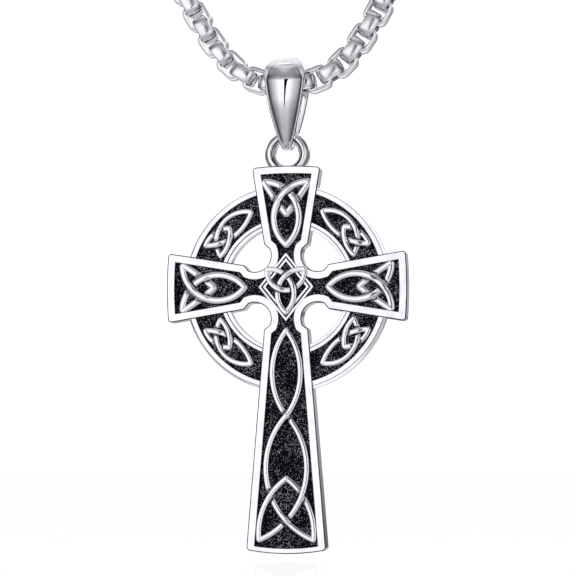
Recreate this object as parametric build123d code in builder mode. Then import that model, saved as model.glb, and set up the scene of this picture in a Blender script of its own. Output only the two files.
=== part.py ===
from build123d import *
from math import asin, cos, degrees, pi, radians, sin, sqrt
from typing import NamedTuple
import os

# Celtic cross pendant that hangs by its bail on a closed rounded box chain.
# Millimetres, +Z up, the cross faces -Y, and the origin is under the clasp, where the nape holds the chain.

# Rounded box links
link_band = 1.8
link_end_wall = 0.6
link_side_wall = 0.46
link_corner = 0.95
link_inner_corner = 0.15
link_dome = 0.3
link_gap = 0.27
link_play = 0.41
link_side_clearance = 0.19

# Route of the chain, as the slope in degrees of each link from the bail outwards
chain_length = 457.0
bail_slopes = (0.0, 9.0, 20.0, 32.0, 44.0, 51.5, 56.0, 59.0)
run_slope = 61.0

# Clasp and the rings that join it to the chain
clasp_room = 12.0
clasp_height = 5.0
clasp_thickness = 1.6
clasp_wall = 0.7
clasp_hole_radius = 0.85
end_ring_wire = 0.6
end_ring_inner_radius = 1.4
end_ring_clearance = 0.16

# Bail
bail_drop = 6.35
bail_crown_wall = 1.45
bail_foot_wall = 0.65
bail_crown_height = 2.2
bail_half_width = 2.5
bail_tip_half_width = 0.66
bail_side_bulge = 0.25
bail_chain_clearance = 0.4
bail_eye_clearance = 0.34
bail_eye_lift = 0.25
bail_outline_margin = 0.15

# Eye on top of the cross, sunk into the end of the top arm
eye_inner_radius = 1.37
eye_wire = 1.43
eye_sink = 1.25

# Cross plate
plate_thickness = 2.4
rim_width = 0.95
foot_rim_width = 0.65
recess_depth = 0.5
arm_corner = 0.45
neck_reach = 4.6
armpit_radius = 1.97
armpit_place = 3.84

# Ring behind the arms, with an outer wall that leans out towards its back
ring_outer_radius = 12.65
ring_inner_radius = 7.45
ring_thickness = 1.7
ring_lean_width = 0.3
ring_lean_depth = 0.8
ring_rim_width = 0.6
ring_inner_rim_width = 0.91
ring_inner_step_width = 0.45
ring_inner_step_depth = 0.12
ring_recess_depth = 0.4

# Lozenge on the hub
lozenge_half_width = 3.38
lozenge_half_height = 4.16
lozenge_border = 0.7
lozenge_rise = 0.1
lozenge_recess_depth = 0.4
lozenge_groove = 0.14
lozenge_groove_depth = 0.08

# Knots
arm_strand = 0.62
shaft_strand = 0.6
ring_strand = 0.48
trinity_strand = 0.5
strand_drop = 0.05
trinity_rise = 0.15
crossing_gap = 0.1
root = 0.1

# How far a crossing's gap and the strand over it reach, as shares of the strand's width
gap_reach = 1.2
bridge_reach = 1.5


class Arm(NamedTuple):
    """One arm of the plate, measured outwards from the hub's centre."""

    turn: float
    shoulder: float
    shoulder_half: float
    end: float
    end_half: float
    end_bulge: float


class Strand(NamedTuple):
    """A strand of a knot, an arc from one point through another to a third, in shares of its field."""

    start: tuple[float, float]
    through: tuple[float, float]
    end: tuple[float, float]


class Crossing(NamedTuple):
    """Where one strand runs over another, in shares of the knot's field."""

    upper: str
    place: tuple[float, float]


class Stop(NamedTuple):
    """The centre and slope of one link in the plane of the chain."""

    x: float
    z: float
    slope: float


arms = {
    "right": Arm(turn=-90, shoulder=5.15, shoulder_half=2.7, end=14.5, end_half=4.25, end_bulge=0.2),
    "left": Arm(turn=90, shoulder=5.15, shoulder_half=2.7, end=14.5, end_half=4.25, end_bulge=0.2),
    "top": Arm(turn=0, shoulder=5.2, shoulder_half=2.7, end=14.5, end_half=4.2, end_bulge=0.2),
    "shaft": Arm(turn=180, shoulder=5.1, shoulder_half=2.7, end=31.6, end_half=4.85, end_bulge=0.45),
}

# Knot of the side arms and the top arm: a lens whose sides cross and turn back to a chevron.
# Its places are shares of the arm's end_half across and of its end outwards.
arm_knot = {
    "over": Strand((0.0, 0.3586), (-0.3459, 0.5931), (0.6588, 0.8862)),
    "under": Strand((0.0, 0.3586), (0.3459, 0.5931), (-0.6588, 0.8862)),
    "chevron_right": Strand((0.0, 0.6186), (0.3059, 0.7345), (0.6588, 0.8862)),
    "chevron_left": Strand((0.0, 0.6186), (-0.3059, 0.7345), (-0.6588, 0.8862)),
}
arm_crossings = (
    Crossing("over", (0.0, 0.8103)),
    Crossing("over", (-0.2941, 0.7034)),
    Crossing("under", (0.2941, 0.7034)),
)

# Knot of the shaft: two lenses in a row that end in a lens and chevron, in shares as on the arms.
shaft_knot = {
    "top_right": Strand((0.0, 0.1655), (-0.3505, 0.3196), (0.0, 0.4905)),
    "top_left": Strand((0.0, 0.1655), (0.3505, 0.3196), (0.0, 0.4905)),
    "to_right": Strand((0.0, 0.4905), (0.5072, 0.6867), (-0.6804, 0.9604)),
    "to_left": Strand((0.0, 0.4905), (-0.5072, 0.6867), (0.6804, 0.9604)),
    "apex_right": Strand((0.0, 0.7294), (-0.433, 0.8006), (-0.6804, 0.9604)),
    "apex_left": Strand((0.0, 0.7294), (0.433, 0.8006), (0.6804, 0.9604)),
}
shaft_crossings = (
    Crossing("top_right", (0.0, 0.4905)),
    Crossing("to_right", (0.0, 0.4905)),
    Crossing("to_right", (0.0, 0.8829)),
    Crossing("to_left", (-0.4021, 0.7943)),
    Crossing("apex_left", (0.4021, 0.7943)),
)

# Knot of one ring quarter, the upper left one, in shares of the ring's outer radius.
ring_knot = {
    "outer": Strand((-0.3478, 0.7233), (-0.6443, 0.5858), (-0.6443, 0.3083)),
    "inner": Strand((-0.7866, 0.4111), (-0.5352, 0.4838), (-0.3478, 0.7233)),
    "hook": Strand((-0.6443, 0.3083), (-0.5652, 0.4332), (-0.5573, 0.5692)),
    "turn": Strand((-0.5573, 0.5692), (-0.6877, 0.5312), (-0.7866, 0.4111)),
}
ring_crossings = (
    Crossing("outer", (-0.664, 0.5415)),
    Crossing("inner", (-0.6798, 0.4269)),
    Crossing("hook", (-0.5652, 0.4704)),
)

# Trinity knot on the lozenge, in shares of the lozenge's half width and half height.
trinity_knot = {
    "level": Strand((-0.6657, 0.5048), (0.0, -0.0962), (0.6657, 0.5048)),
    "fall_right": Strand((-0.6657, 0.5048), (0.2219, 0.0841), (0.0, -0.7332)),
    "fall_left": Strand((0.6657, 0.5048), (-0.2219, 0.0841), (0.0, -0.7332)),
}
trinity_crossings = (
    Crossing("level", (-0.2515, -0.024)),
    Crossing("fall_right", (0.2515, -0.024)),
    Crossing("fall_left", (0.0, 0.3245)),
)


# Sizes that follow from the ones above

link_width = link_band + 2 * (link_side_clearance + link_side_wall)
link_opening = 2 * link_end_wall + 2 * link_gap + link_play
link_length = link_opening + 2 * link_end_wall
pitch = link_opening - link_gap
eye_centre_height = arms["top"].end + arms["top"].end_bulge - eye_sink + eye_inner_radius + eye_wire


def ring_seat(half_bar: float) -> float:
    """How far an end ring's centre lies past the inner face of a bar that is 2 x half_bar wide."""
    return sqrt(end_ring_inner_radius**2 - half_bar**2) - end_ring_clearance


def half_route() -> list[Stop]:
    """The links of the right half, from the one in the bail up to the one beside the clasp."""
    slopes = list(bail_slopes)
    bend_x = pitch * (sum(cos(radians(slope)) for slope in slopes) - 0.5)
    run = radians(run_slope)
    turn_left = pi - run
    widening = turn_left / sin(run)
    bend_length = pitch * (len(slopes) - 0.5)
    run_length = (chain_length / 2 - bend_length - bend_x * widening) / (1 + cos(run) * widening)
    run_count = round(run_length / pitch)
    top_radius = (bend_x + run_count * pitch * cos(run)) / sin(run)
    step = degrees(2 * asin(pitch / 2 / top_radius))
    room = clasp_room / 2 + 2 * end_ring_inner_radius
    spare = degrees(asin(room / top_radius))
    arc_count = round((180 - run_slope - spare) / step)
    # The last link stands upright, because the end ring lies square to it and to the clasp
    arc_count += (len(slopes) + run_count + arc_count + 1) % 2
    slopes += [run_slope] * run_count
    slopes += [run_slope + step * (index + 0.5) for index in range(arc_count)]
    stops = [Stop(0.0, 0.0, slopes[0])]
    for slope in slopes[1:]:
        last = stops[-1]
        x = last.x + pitch / 2 * (cos(radians(last.slope)) + cos(radians(slope)))
        z = last.z + pitch / 2 * (sin(radians(last.slope)) + sin(radians(slope)))
        stops.append(Stop(x, z, slope))
    return stops


half = half_route()
last_link = half[-1]
ring_reach = link_length / 2 - link_end_wall + ring_seat(link_band / 2)
end_ring_x = last_link.x + ring_reach * cos(radians(last_link.slope))
end_ring_rise = last_link.z + ring_reach * sin(radians(last_link.slope))
clasp_half = end_ring_x - ring_seat(clasp_thickness / 2) + clasp_wall

# Heights of the parts, with the clasp's underside at zero
clasp_z = clasp_height / 2
chain_bottom_z = clasp_z - end_ring_rise
eye_wire_z = chain_bottom_z - bail_drop
cross_z = eye_wire_z - eye_centre_height - eye_inner_radius - eye_wire / 2

# Depths of the parts, from the middle of the plate towards the viewer
plate_front = plate_thickness / 2
plate_floor = plate_front - recess_depth
ring_front = ring_thickness / 2
ring_floor = ring_front - ring_recess_depth
lozenge_front = plate_front + lozenge_rise
lozenge_floor = lozenge_front - lozenge_recess_depth

cross_plane = Plane(origin=(0, 0, cross_z), x_dir=(1, 0, 0), z_dir=(0, -1, 0))


def placed(share: tuple[float, float], field: tuple[float, float]) -> tuple[float, float]:
    """A point of a knot, from its shares of the field that the knot fills."""
    return share[0] * field[0], share[1] * field[1]


def arc_edge(strand: Strand, field: tuple[float, float]) -> Edge:
    """The centre line of one strand."""
    return Edge.make_three_point_arc(
        placed(strand.start, field),
        placed(strand.through, field),
        placed(strand.end, field),
    )


def knot_sketch(strands: dict, crossings: tuple, width: float, field: tuple[float, float]) -> Sketch:
    """A flat knot whose lower strands stop just short of the strand that crosses them."""
    with BuildSketch() as knot:
        for strand in strands.values():
            trace(arc_edge(strand, field), line_width=width)
            with Locations(placed(strand.start, field), placed(strand.end, field)):
                Circle(width / 2)
        for crossing in crossings:
            upper = arc_edge(strands[crossing.upper], field)
            with BuildSketch(mode=Mode.PRIVATE) as moat:
                trace(upper, line_width=width + 2 * crossing_gap)
                with Locations(placed(crossing.place, field)):
                    Circle(gap_reach * width, mode=Mode.INTERSECT)
            with BuildSketch(mode=Mode.PRIVATE) as bridge:
                trace(upper, line_width=width)
                with Locations(placed(crossing.place, field)):
                    Circle(bridge_reach * width, mode=Mode.INTERSECT)
            add(moat.sketch, mode=Mode.SUBTRACT)
            add(bridge.sketch)
    return knot.sketch


def plate_sketch(foot_spare: float) -> Sketch:
    """The outline of the plate: a hub with four round armpits, and four flared arms.

    The shaft reaches further down by foot_spare, along the same sides.
    """
    with BuildSketch() as plate:
        Rectangle(2 * neck_reach, 2 * neck_reach)
        with GridLocations(2 * armpit_place, 2 * armpit_place, 2, 2):
            Circle(armpit_radius, mode=Mode.SUBTRACT)
        neck_half = armpit_place - sqrt(armpit_radius**2 - (neck_reach - armpit_place) ** 2)
        for name, arm in arms.items():
            flare = (arm.end_half - arm.shoulder_half) / (arm.end - arm.shoulder)
            spare = foot_spare if name == "shaft" else 0
            end = arm.end + spare
            end_half = arm.end_half + flare * spare
            with BuildSketch(Plane.XY.rotated((0, 0, arm.turn)), mode=Mode.PRIVATE) as blade:
                with BuildLine():
                    Polyline(
                        (-end_half, end),
                        (-arm.shoulder_half, arm.shoulder),
                        (-neck_half, neck_reach),
                        (neck_half, neck_reach),
                        (arm.shoulder_half, arm.shoulder),
                        (end_half, end),
                    )
                    ThreePointArc((end_half, end), (0, end + arm.end_bulge), (-end_half, end))
                make_face()
                fillet(blade.vertices().group_by(Axis.Y)[-1], arm_corner)
            add(blade.sketch)
    return plate.sketch


# Cross, with its ring, knots and eye cast in one piece

plate = plate_sketch(0)
recess = plate_sketch(rim_width - foot_rim_width)
arm_reliefs = {}
for name, arm in arms.items():
    knot, crossings, width = (arm_knot, arm_crossings, arm_strand)
    if name == "shaft":
        knot, crossings, width = (shaft_knot, shaft_crossings, shaft_strand)
    arm_reliefs[name] = knot_sketch(knot, crossings, width, (arm.end_half, arm.end))
ring_relief = knot_sketch(ring_knot, ring_crossings, ring_strand, (ring_outer_radius, ring_outer_radius))
lozenge_field = (lozenge_half_width, lozenge_half_height)
trinity_relief = knot_sketch(trinity_knot, trinity_crossings, trinity_strand, lozenge_field)

ring_face_edge = ring_outer_radius - ring_lean_width
ring_step_radius = ring_inner_radius + ring_inner_step_width
ring_step_front = ring_front - ring_inner_step_depth
ring_floor_start = ring_inner_radius + ring_inner_rim_width
ring_floor_end = ring_face_edge - ring_rim_width

with BuildPart() as cross:
    with BuildSketch(Plane.XY.offset(cross_z)):
        with BuildLine():
            Polyline(
                (ring_inner_radius, ring_thickness / 2),
                (ring_inner_radius, -ring_step_front),
                (ring_step_radius, -ring_step_front),
                (ring_step_radius, -ring_front),
                (ring_floor_start, -ring_front),
                (ring_floor_start, -ring_floor),
                (ring_floor_end, -ring_floor),
                (ring_floor_end, -ring_front),
                (ring_face_edge, -ring_front),
                (ring_outer_radius, ring_lean_depth - ring_front),
                (ring_outer_radius, ring_thickness / 2),
                close=True,
            )
        make_face()
    revolve(axis=Axis((0, 0, cross_z), (0, 1, 0)))
    with BuildSketch(cross_plane.offset(ring_floor - root)):
        add(ring_relief)
        mirror(about=Plane.YZ)
        mirror(about=Plane.XZ)
    extrude(amount=ring_recess_depth + root - strand_drop)
    with BuildSketch(cross_plane):
        add(plate)
    extrude(amount=plate_thickness / 2, both=True)
    with BuildSketch(cross_plane.offset(plate_front)):
        add(recess)
        offset(amount=-rim_width, kind=Kind.INTERSECTION, mode=Mode.REPLACE)
    extrude(amount=-recess_depth, mode=Mode.SUBTRACT)
    with BuildSketch(cross_plane.offset(plate_floor - root)):
        for name, arm in arms.items():
            add(arm_reliefs[name], rotation=arm.turn)
    extrude(amount=recess_depth + root - strand_drop)
    with BuildSketch(cross_plane.offset(plate_floor - root)) as lozenge:
        with BuildLine():
            Polyline(
                (0, lozenge_half_height),
                (-lozenge_half_width, 0),
                (0, -lozenge_half_height),
                (lozenge_half_width, 0),
                close=True,
            )
        make_face()
    extrude(amount=recess_depth + root + lozenge_rise)
    with BuildSketch(cross_plane.offset(lozenge_front)):
        add(lozenge.sketch_local)
        offset(amount=-lozenge_border, kind=Kind.INTERSECTION, mode=Mode.REPLACE)
    extrude(amount=-lozenge_recess_depth, mode=Mode.SUBTRACT)
    with BuildSketch(cross_plane.offset(lozenge_front)):
        for inset, mode in ((0, Mode.ADD), (lozenge_groove, Mode.SUBTRACT)):
            with BuildSketch(mode=Mode.PRIVATE) as edge:
                add(lozenge.sketch_local)
                inward = (lozenge_border - lozenge_groove) / 2 + inset
                offset(amount=-inward, kind=Kind.INTERSECTION, mode=Mode.REPLACE)
            add(edge.sketch, mode=mode)
    extrude(amount=-lozenge_groove_depth, mode=Mode.SUBTRACT)
    with BuildSketch(cross_plane.offset(lozenge_floor - root)):
        add(trinity_relief)
    extrude(amount=lozenge_recess_depth + root + trinity_rise)
    eye_centre = (0, 0, cross_z + eye_centre_height)
    with BuildSketch(Plane.XY.offset(cross_z + eye_centre_height)):
        with Locations((eye_inner_radius + eye_wire / 2, 0)):
            Circle(eye_wire / 2)
    revolve(axis=Axis(eye_centre, (0, 1, 0)))
cross.part.label = "cross"

# Bail, a tapered loop round the chain and the eye's wire

bail_chain_radius = link_width / 2 + bail_chain_clearance
bail_eye_radius = eye_wire / 2 + bail_eye_clearance + bail_eye_lift
bail_foot_z = eye_wire_z + bail_eye_lift
bail_lowest = bail_foot_z - bail_eye_radius - bail_foot_wall
bail_tip_z = bail_lowest - bail_outline_margin + bail_tip_half_width
bail_highest = chain_bottom_z + bail_chain_radius + bail_crown_wall
bail_crown_z = bail_highest + bail_outline_margin - bail_crown_height
bail_middle = (bail_half_width + bail_tip_half_width) / 2 + bail_side_bulge

with BuildPart() as bail:
    with BuildSketch(Plane.YZ):
        with Locations((0, chain_bottom_z)):
            Circle(bail_chain_radius + bail_crown_wall)
        with Locations((0, bail_foot_z)):
            Circle(bail_eye_radius + bail_foot_wall)
        make_hull()
        with BuildSketch(Plane.YZ, mode=Mode.PRIVATE) as hollow:
            with Locations((0, chain_bottom_z)):
                Circle(bail_chain_radius)
            with Locations((0, bail_foot_z)):
                Circle(bail_eye_radius)
            make_hull()
        add(hollow.sketch_local, mode=Mode.SUBTRACT)
    extrude(amount=2 * bail_half_width, both=True)
    with BuildSketch(Plane.XZ):
        with BuildLine():
            ThreePointArc(
                (bail_half_width, bail_crown_z),
                (bail_middle, (bail_crown_z + bail_tip_z) / 2),
                (bail_tip_half_width, bail_tip_z),
            )
            ThreePointArc(
                (bail_tip_half_width, bail_tip_z),
                (0, bail_tip_z - bail_tip_half_width),
                (-bail_tip_half_width, bail_tip_z),
            )
            ThreePointArc(
                (-bail_tip_half_width, bail_tip_z),
                (-bail_middle, (bail_crown_z + bail_tip_z) / 2),
                (-bail_half_width, bail_crown_z),
            )
            EllipticalCenterArc(
                (0, bail_crown_z),
                bail_half_width,
                bail_crown_height,
                start_angle=0,
                arc_size=180,
            )
        make_face()
    extrude(amount=2 * bail_drop, both=True, mode=Mode.INTERSECT)
bail.part.label = "bail"

# Chain, one loose link for each stop of the route

with BuildPart() as link:
    with BuildSketch():
        RectangleRounded(link_length, link_width, link_corner)
        RectangleRounded(
            link_opening,
            link_width - 2 * link_side_wall,
            link_inner_corner,
            mode=Mode.SUBTRACT,
        )
    extrude(amount=link_band / 2, both=True)
    for dome_plane, across in ((Plane.XZ, link_length / 2), (Plane.YZ, link_width / 2)):
        with BuildSketch(dome_plane):
            with BuildLine():
                edge_place = across - link_dome
                ThreePointArc((edge_place, link_band / 2), (across, 0), (edge_place, -link_band / 2))
                Line((edge_place, -link_band / 2), (-edge_place, -link_band / 2))
                ThreePointArc((-edge_place, -link_band / 2), (-across, 0), (-edge_place, link_band / 2))
                Line((-edge_place, link_band / 2), (edge_place, link_band / 2))
            make_face()
        extrude(amount=link_length, both=True, mode=Mode.INTERSECT)


def link_plane(stop: Stop, upright: bool) -> Plane:
    """The plane of one link's ring: the plane of the chain when upright, else square to it."""
    along = Vector(cos(radians(stop.slope)), 0, sin(radians(stop.slope)))
    away = Vector(-sin(radians(stop.slope)), 0, cos(radians(stop.slope)))
    normal = Vector(0, -1, 0) if upright else away
    return Plane(origin=(stop.x, 0, chain_bottom_z + stop.z), x_dir=along, z_dir=normal)


links = []
for index, stop in enumerate(half):
    upright = index % 2 == 0
    links.append(link_plane(stop, upright).location * link.part)
    if index:
        twin = Stop(-stop.x, stop.z, -stop.slope)
        links.append(link_plane(twin, upright).location * link.part)
chain = Compound(label="chain", children=links)

# Rings at the ends of the chain

end_ring_tilt = (180 - last_link.slope) / 2
end_rings = {}
for side, name in ((-1, "end_ring_left"), (1, "end_ring_right")):
    along = Vector(cos(radians(end_ring_tilt)), 0, -side * sin(radians(end_ring_tilt)))
    away = Vector(side * sin(radians(end_ring_tilt)), 0, cos(radians(end_ring_tilt)))
    centre = Vector(side * end_ring_x, 0, clasp_z)
    with BuildPart() as end_ring:
        with BuildSketch(Plane(origin=centre, x_dir=along, z_dir=(0, 1, 0))):
            with Locations((end_ring_inner_radius + end_ring_wire / 2, 0)):
                Circle(end_ring_wire / 2)
        revolve(axis=Axis(centre, away))
    end_ring.part.label = name
    end_rings[name] = end_ring.part

# Clasp, a plain plate with a hole for each end ring

with BuildPart() as clasp:
    with BuildSketch(Plane.XZ):
        with Locations((0, clasp_z)):
            SlotOverall(2 * clasp_half, clasp_height)
    extrude(amount=clasp_thickness / 2, both=True)
    with BuildSketch(Plane.XZ):
        for side in (-1, 1):
            with Locations((side * (clasp_half - clasp_wall - clasp_hole_radius), clasp_z)):
                Circle(clasp_hole_radius)
    extrude(amount=clasp_thickness, both=True, mode=Mode.SUBTRACT)
clasp.part.label = "clasp"

os.makedirs("parts", exist_ok=True)
for piece in (cross.part, bail.part, chain, clasp.part, *end_rings.values()):
    export_step(piece, f"parts/{piece.label}.step")

print("links", len(links), "pitch", round(pitch, 3), "link", round(link_length, 3), round(link_width, 3))
print("chain bottom", round(chain_bottom_z, 3), "eye wire", round(eye_wire_z, 3), "cross", round(cross_z, 3))
print("widest", round(max(stop.x for stop in half), 2), "clasp length", round(2 * clasp_half, 2))
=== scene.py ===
"""Celtic cross pendant of oxidised cast silver on a rounded box chain."""

import logging
from dataclasses import dataclass
from enum import Enum
from math import asin, atan2, cos, degrees, hypot, pi, radians, sin, sqrt
from typing import Callable, NamedTuple, Optional, Sequence

import bmesh
import bpy
from bmesh.types import BMEdge, BMesh, BMFace, BMVert
from bpy.types import Material, Node, NodeSocket, NodeTree, Object
from mathutils import Matrix, Vector

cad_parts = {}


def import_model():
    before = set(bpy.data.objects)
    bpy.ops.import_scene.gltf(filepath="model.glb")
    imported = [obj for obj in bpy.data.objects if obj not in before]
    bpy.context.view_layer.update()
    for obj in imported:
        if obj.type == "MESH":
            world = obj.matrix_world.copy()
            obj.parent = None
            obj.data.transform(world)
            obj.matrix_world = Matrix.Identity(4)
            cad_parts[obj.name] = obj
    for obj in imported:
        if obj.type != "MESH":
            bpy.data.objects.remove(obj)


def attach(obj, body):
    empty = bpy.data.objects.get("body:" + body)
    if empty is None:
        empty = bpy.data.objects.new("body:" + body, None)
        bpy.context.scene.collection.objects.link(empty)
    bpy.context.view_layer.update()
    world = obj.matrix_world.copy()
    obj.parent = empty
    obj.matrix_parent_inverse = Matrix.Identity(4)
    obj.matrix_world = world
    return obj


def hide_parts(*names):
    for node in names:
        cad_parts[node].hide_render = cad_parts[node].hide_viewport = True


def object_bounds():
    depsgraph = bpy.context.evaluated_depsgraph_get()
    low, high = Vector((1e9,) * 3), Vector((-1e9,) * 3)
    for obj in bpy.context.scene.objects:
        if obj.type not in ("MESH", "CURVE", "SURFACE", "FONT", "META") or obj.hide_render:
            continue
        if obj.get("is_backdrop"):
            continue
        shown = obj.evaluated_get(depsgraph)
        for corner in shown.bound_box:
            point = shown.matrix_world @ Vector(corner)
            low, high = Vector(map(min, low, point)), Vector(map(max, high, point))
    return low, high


LOG = logging.getLogger("pendant")
MM = 0.001
VIEWER = (0.0, -1.0, 0.0)

# Points nearer than this, in millimetres, are one point.
MERGE = 0.002

# Edges sharper than this, in radians, are creases that may be rounded off.
CREASE = radians(60)

# Edges sharper than this, in degrees, stay sharp: on round forms, and on forms whose wide faces are flat.
ROUND_ANGLE = 40.0
FLAT_ANGLE = 14.0

# How far a rounded edge's middle lies in from the corner, as a share of its radius.
ROUND_MIDDLE = 0.3

# Most of a noise's values lie between these.
NOISE_RANGE = (0.35, 0.65)

WHITE = (1.0, 1.0, 1.0, 1.0)
BLACK = (0.0, 0.0, 0.0, 1.0)

Point = tuple[float, float]
Colour = tuple[float, float, float, float]


class Slot(Enum):
    """The record's material slots."""

    CAST = "cast_silver"
    POLISHED = "polished_silver"
    CHAIN = "chain_silver"


class Face(Enum):
    """Which finish of its piece a face takes, as its material index.

    GROUND is the ground between raised parts, or the bail's thin rims, and LINE is a dark grey painted along
    an edge: painted dark reflection and shade that outline the bright faces.
    """

    BRIGHT = 0
    GROUND = 1
    LINE = 2


# Finishes


def linear(hex_colour: str) -> Colour:
    """Turn an sRGB hex colour to linear light.

    Args:
        hex_colour: Six hex digits.

    Returns:
        Red, green, blue and an alpha of one.
    """
    channels = [int(hex_colour[start:start + 2], 16) / 255 for start in (0, 2, 4)]
    red, green, blue = (
        value / 12.92 if value <= 0.04045 else ((value + 0.055) / 1.055) ** 2.4 for value in channels
    )
    return red, green, blue, 1.0


def per_mm(size: float) -> float:
    """Return the texture scale whose cells are size millimetres wide."""
    return 1.0 / (size * MM)


def add_node(
    tree: NodeTree,
    kind: str,
    inputs: Optional[dict[str | int, object]] = None,
    **settings: object,
) -> Node:
    """Add a node with its settings and inputs.

    Args:
        tree: The node tree.
        kind: The node's type name.
        inputs: By input, the socket that feeds it, or else its own value.
        **settings: Properties of the node.

    Returns:
        The new node.
    """
    node = tree.nodes.new(kind)
    for name, value in settings.items():
        setattr(node, name, value)
    for name, value in (inputs or {}).items():
        if isinstance(value, NodeSocket):
            tree.links.new(value, node.inputs[name])
        else:
            node.inputs[name].default_value = value
    return node


def remap(
    tree: NodeTree,
    value: NodeSocket,
    start: Point,
    end: Point = (0.0, 1.0),
    shape: str = "LINEAR",
) -> NodeSocket:
    """Map a value from one range to another, and no further than its ends.

    Args:
        tree: The node tree.
        value: The value.
        start: The range that it comes in.
        end: The range that it goes out in.
        shape: How it goes from one end to the other.

    Returns:
        The mapped value.
    """
    (from_min, from_max), (to_min, to_max) = start, end
    inputs = {"Value": value, "From Min": from_min, "From Max": from_max, "To Min": to_min, "To Max": to_max}
    return add_node(tree, "ShaderNodeMapRange", inputs, interpolation_type=shape).outputs["Result"]


def calculate(
    tree: NodeTree, operation: str, first: NodeSocket, second: NodeSocket | float = 0.0
) -> NodeSocket:
    """Work out an operation on one or two values."""
    return add_node(tree, "ShaderNodeMath", {0: first, 1: second}, operation=operation).outputs["Value"]


def mix(
    tree: NodeTree,
    share: NodeSocket | float,
    first: NodeSocket | Colour,
    second: NodeSocket | Colour,
    blend: str = "MIX",
) -> NodeSocket:
    """Mix two colours.

    Args:
        tree: The node tree.
        share: Nought for the first colour alone, and one for the blend in full.
        first: The first colour.
        second: The second colour.
        blend: How the second is laid on the first.

    Returns:
        The mixed colour.
    """
    inputs = {0: share, 6: first, 7: second}
    return add_node(tree, "ShaderNodeMix", inputs, data_type="RGBA", blend_type=blend).outputs[2]


def noise(tree: NodeTree, place: NodeSocket, size: float, detail: float) -> NodeSocket:
    """Add a noise whose clouds are about size millimetres wide."""
    inputs = {"Vector": place, "Scale": per_mm(size), "Detail": detail}
    return add_node(tree, "ShaderNodeTexNoise", inputs).outputs["Fac"]


def start_metal(name: str) -> tuple[Material, NodeSocket]:
    """Start a metal.

    Args:
        name: The material's name.

    Returns:
        The material, and the place on the object that its patterns follow.
    """
    material = bpy.data.materials.new(name)
    material.use_nodes = True
    tree = material.node_tree
    tree.nodes["Principled BSDF"].inputs["Metallic"].default_value = 1.0
    return material, add_node(tree, "ShaderNodeTexCoord").outputs["Object"]


def end_metal(
    tree: NodeTree, colour: NodeSocket, roughness: NodeSocket, relief: NodeSocket, depth: float
) -> None:
    """Lead a metal's patterns to its shader.

    Args:
        tree: The material's node tree.
        colour: The colour.
        roughness: The roughness.
        relief: The height of the fine relief, from nought to one.
        depth: How deep the relief is, in millimetres.
    """
    bump = add_node(tree, "ShaderNodeBump", {"Height": relief, "Strength": 1.0, "Distance": depth * MM})
    shader = tree.nodes["Principled BSDF"]
    tree.links.new(colour, shader.inputs["Base Color"])
    tree.links.new(roughness, shader.inputs["Roughness"])
    tree.links.new(bump.outputs["Normal"], shader.inputs["Normal"])


def set_ramp(node: Node, stops: Sequence[tuple[float, Colour]]) -> None:
    """Set a colour ramp's stops.

    Args:
        node: The colour ramp node.
        stops: Each stop's place and colour, in rising order.
    """
    band = node.color_ramp
    while len(band.elements) < len(stops):
        band.elements.new(1.0)
    for element, (place, colour) in zip(band.elements, stops):
        element.position = place
        element.color = colour


@dataclass(frozen=True)
class PolishedSilver:
    """Sterling silver, cast or stamped and mop polished: bright, with faint waves and softer worn patches."""

    name: str = "sterling_silver_polished"
    colour: str = "F8F8F9"
    worn_colour: str = "EFF0F2"
    roughness: float = 0.08
    worn_roughness: float = 0.16
    wear_size: float = 1.6
    wave_size: float = 0.9
    wave_height: float = 0.002

    def make(self) -> Material:
        """Build the material.

        Returns:
            The material.
        """
        material, place = start_metal(self.name)
        tree = material.node_tree
        wear = noise(tree, place, self.wear_size, 4.0)
        tint = add_node(tree, "ShaderNodeValToRGB", {"Fac": wear})
        set_ramp(tint, ((0.35, linear(self.worn_colour)), (0.6, linear(self.colour))))
        gloss = remap(tree, wear, NOISE_RANGE, (self.worn_roughness, self.roughness))
        waves = noise(tree, place, self.wave_size, 2.0)
        end_metal(tree, tint.outputs["Color"], gloss, waves, self.wave_height)
        return material


@dataclass(frozen=True)
class OxidisedSilver:
    """Cast silver blackened with liver of sulphur, then polished off the high parts.

    The ground stays black with grey sparks on its grit. From black_height to bright_height, in
    millimetres from the cross's middle plane towards the viewer, the polish takes more of the black off.
    spark_reach is how far a spark reaches from its grain's middle, in dull patches and in worn ones.
    """

    name: str
    black_height: float
    bright_height: float
    black: str = "141518"
    spark: str = "C6C8CC"
    colour: str = "F8F8F9"
    grit_size: float = 0.17
    patch_size: float = 2.2
    spark_reach: Point = (0.26, 0.46)
    grit_height: float = 0.06
    black_roughness: float = 0.4
    roughness: float = 0.2

    def make(self) -> Material:
        """Build the material, with its grit a little coarser than the real one so that it shows.

        Returns:
            The material.
        """
        material, place = start_metal(self.name)
        tree = material.node_tree
        depth = add_node(tree, "ShaderNodeSeparateXYZ", {"Vector": place}).outputs["Y"]
        heights = (-self.black_height * MM, -self.bright_height * MM)
        polish = remap(tree, depth, heights, shape="SMOOTHSTEP")
        grit = add_node(tree, "ShaderNodeTexVoronoi", {"Vector": place, "Scale": per_mm(self.grit_size)})
        patches = noise(tree, place, self.patch_size, 3.0)
        worn = remap(tree, patches, NOISE_RANGE, self.spark_reach)
        crest = calculate(tree, "LESS_THAN", grit.outputs["Distance"], worn)
        share = add_node(tree, "ShaderNodeSeparateColor", {"Color": grit.outputs["Color"]}).outputs["Red"]
        lit = calculate(tree, "MULTIPLY", crest, share)
        ground = mix(tree, lit, linear(self.black), linear(self.spark))
        tint = mix(tree, polish, ground, linear(self.colour))
        gloss = remap(tree, polish, (0.0, 1.0), (self.black_roughness, self.roughness))
        rough = remap(tree, polish, (0.0, 1.0), (1.0, 0.0))
        relief = calculate(tree, "MULTIPLY", grit.outputs["Distance"], rough)
        end_metal(tree, tint, gloss, relief, self.grit_height)
        return material


# Forms, drawn in millimetres, with x across, z up and y away from the viewer


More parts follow.
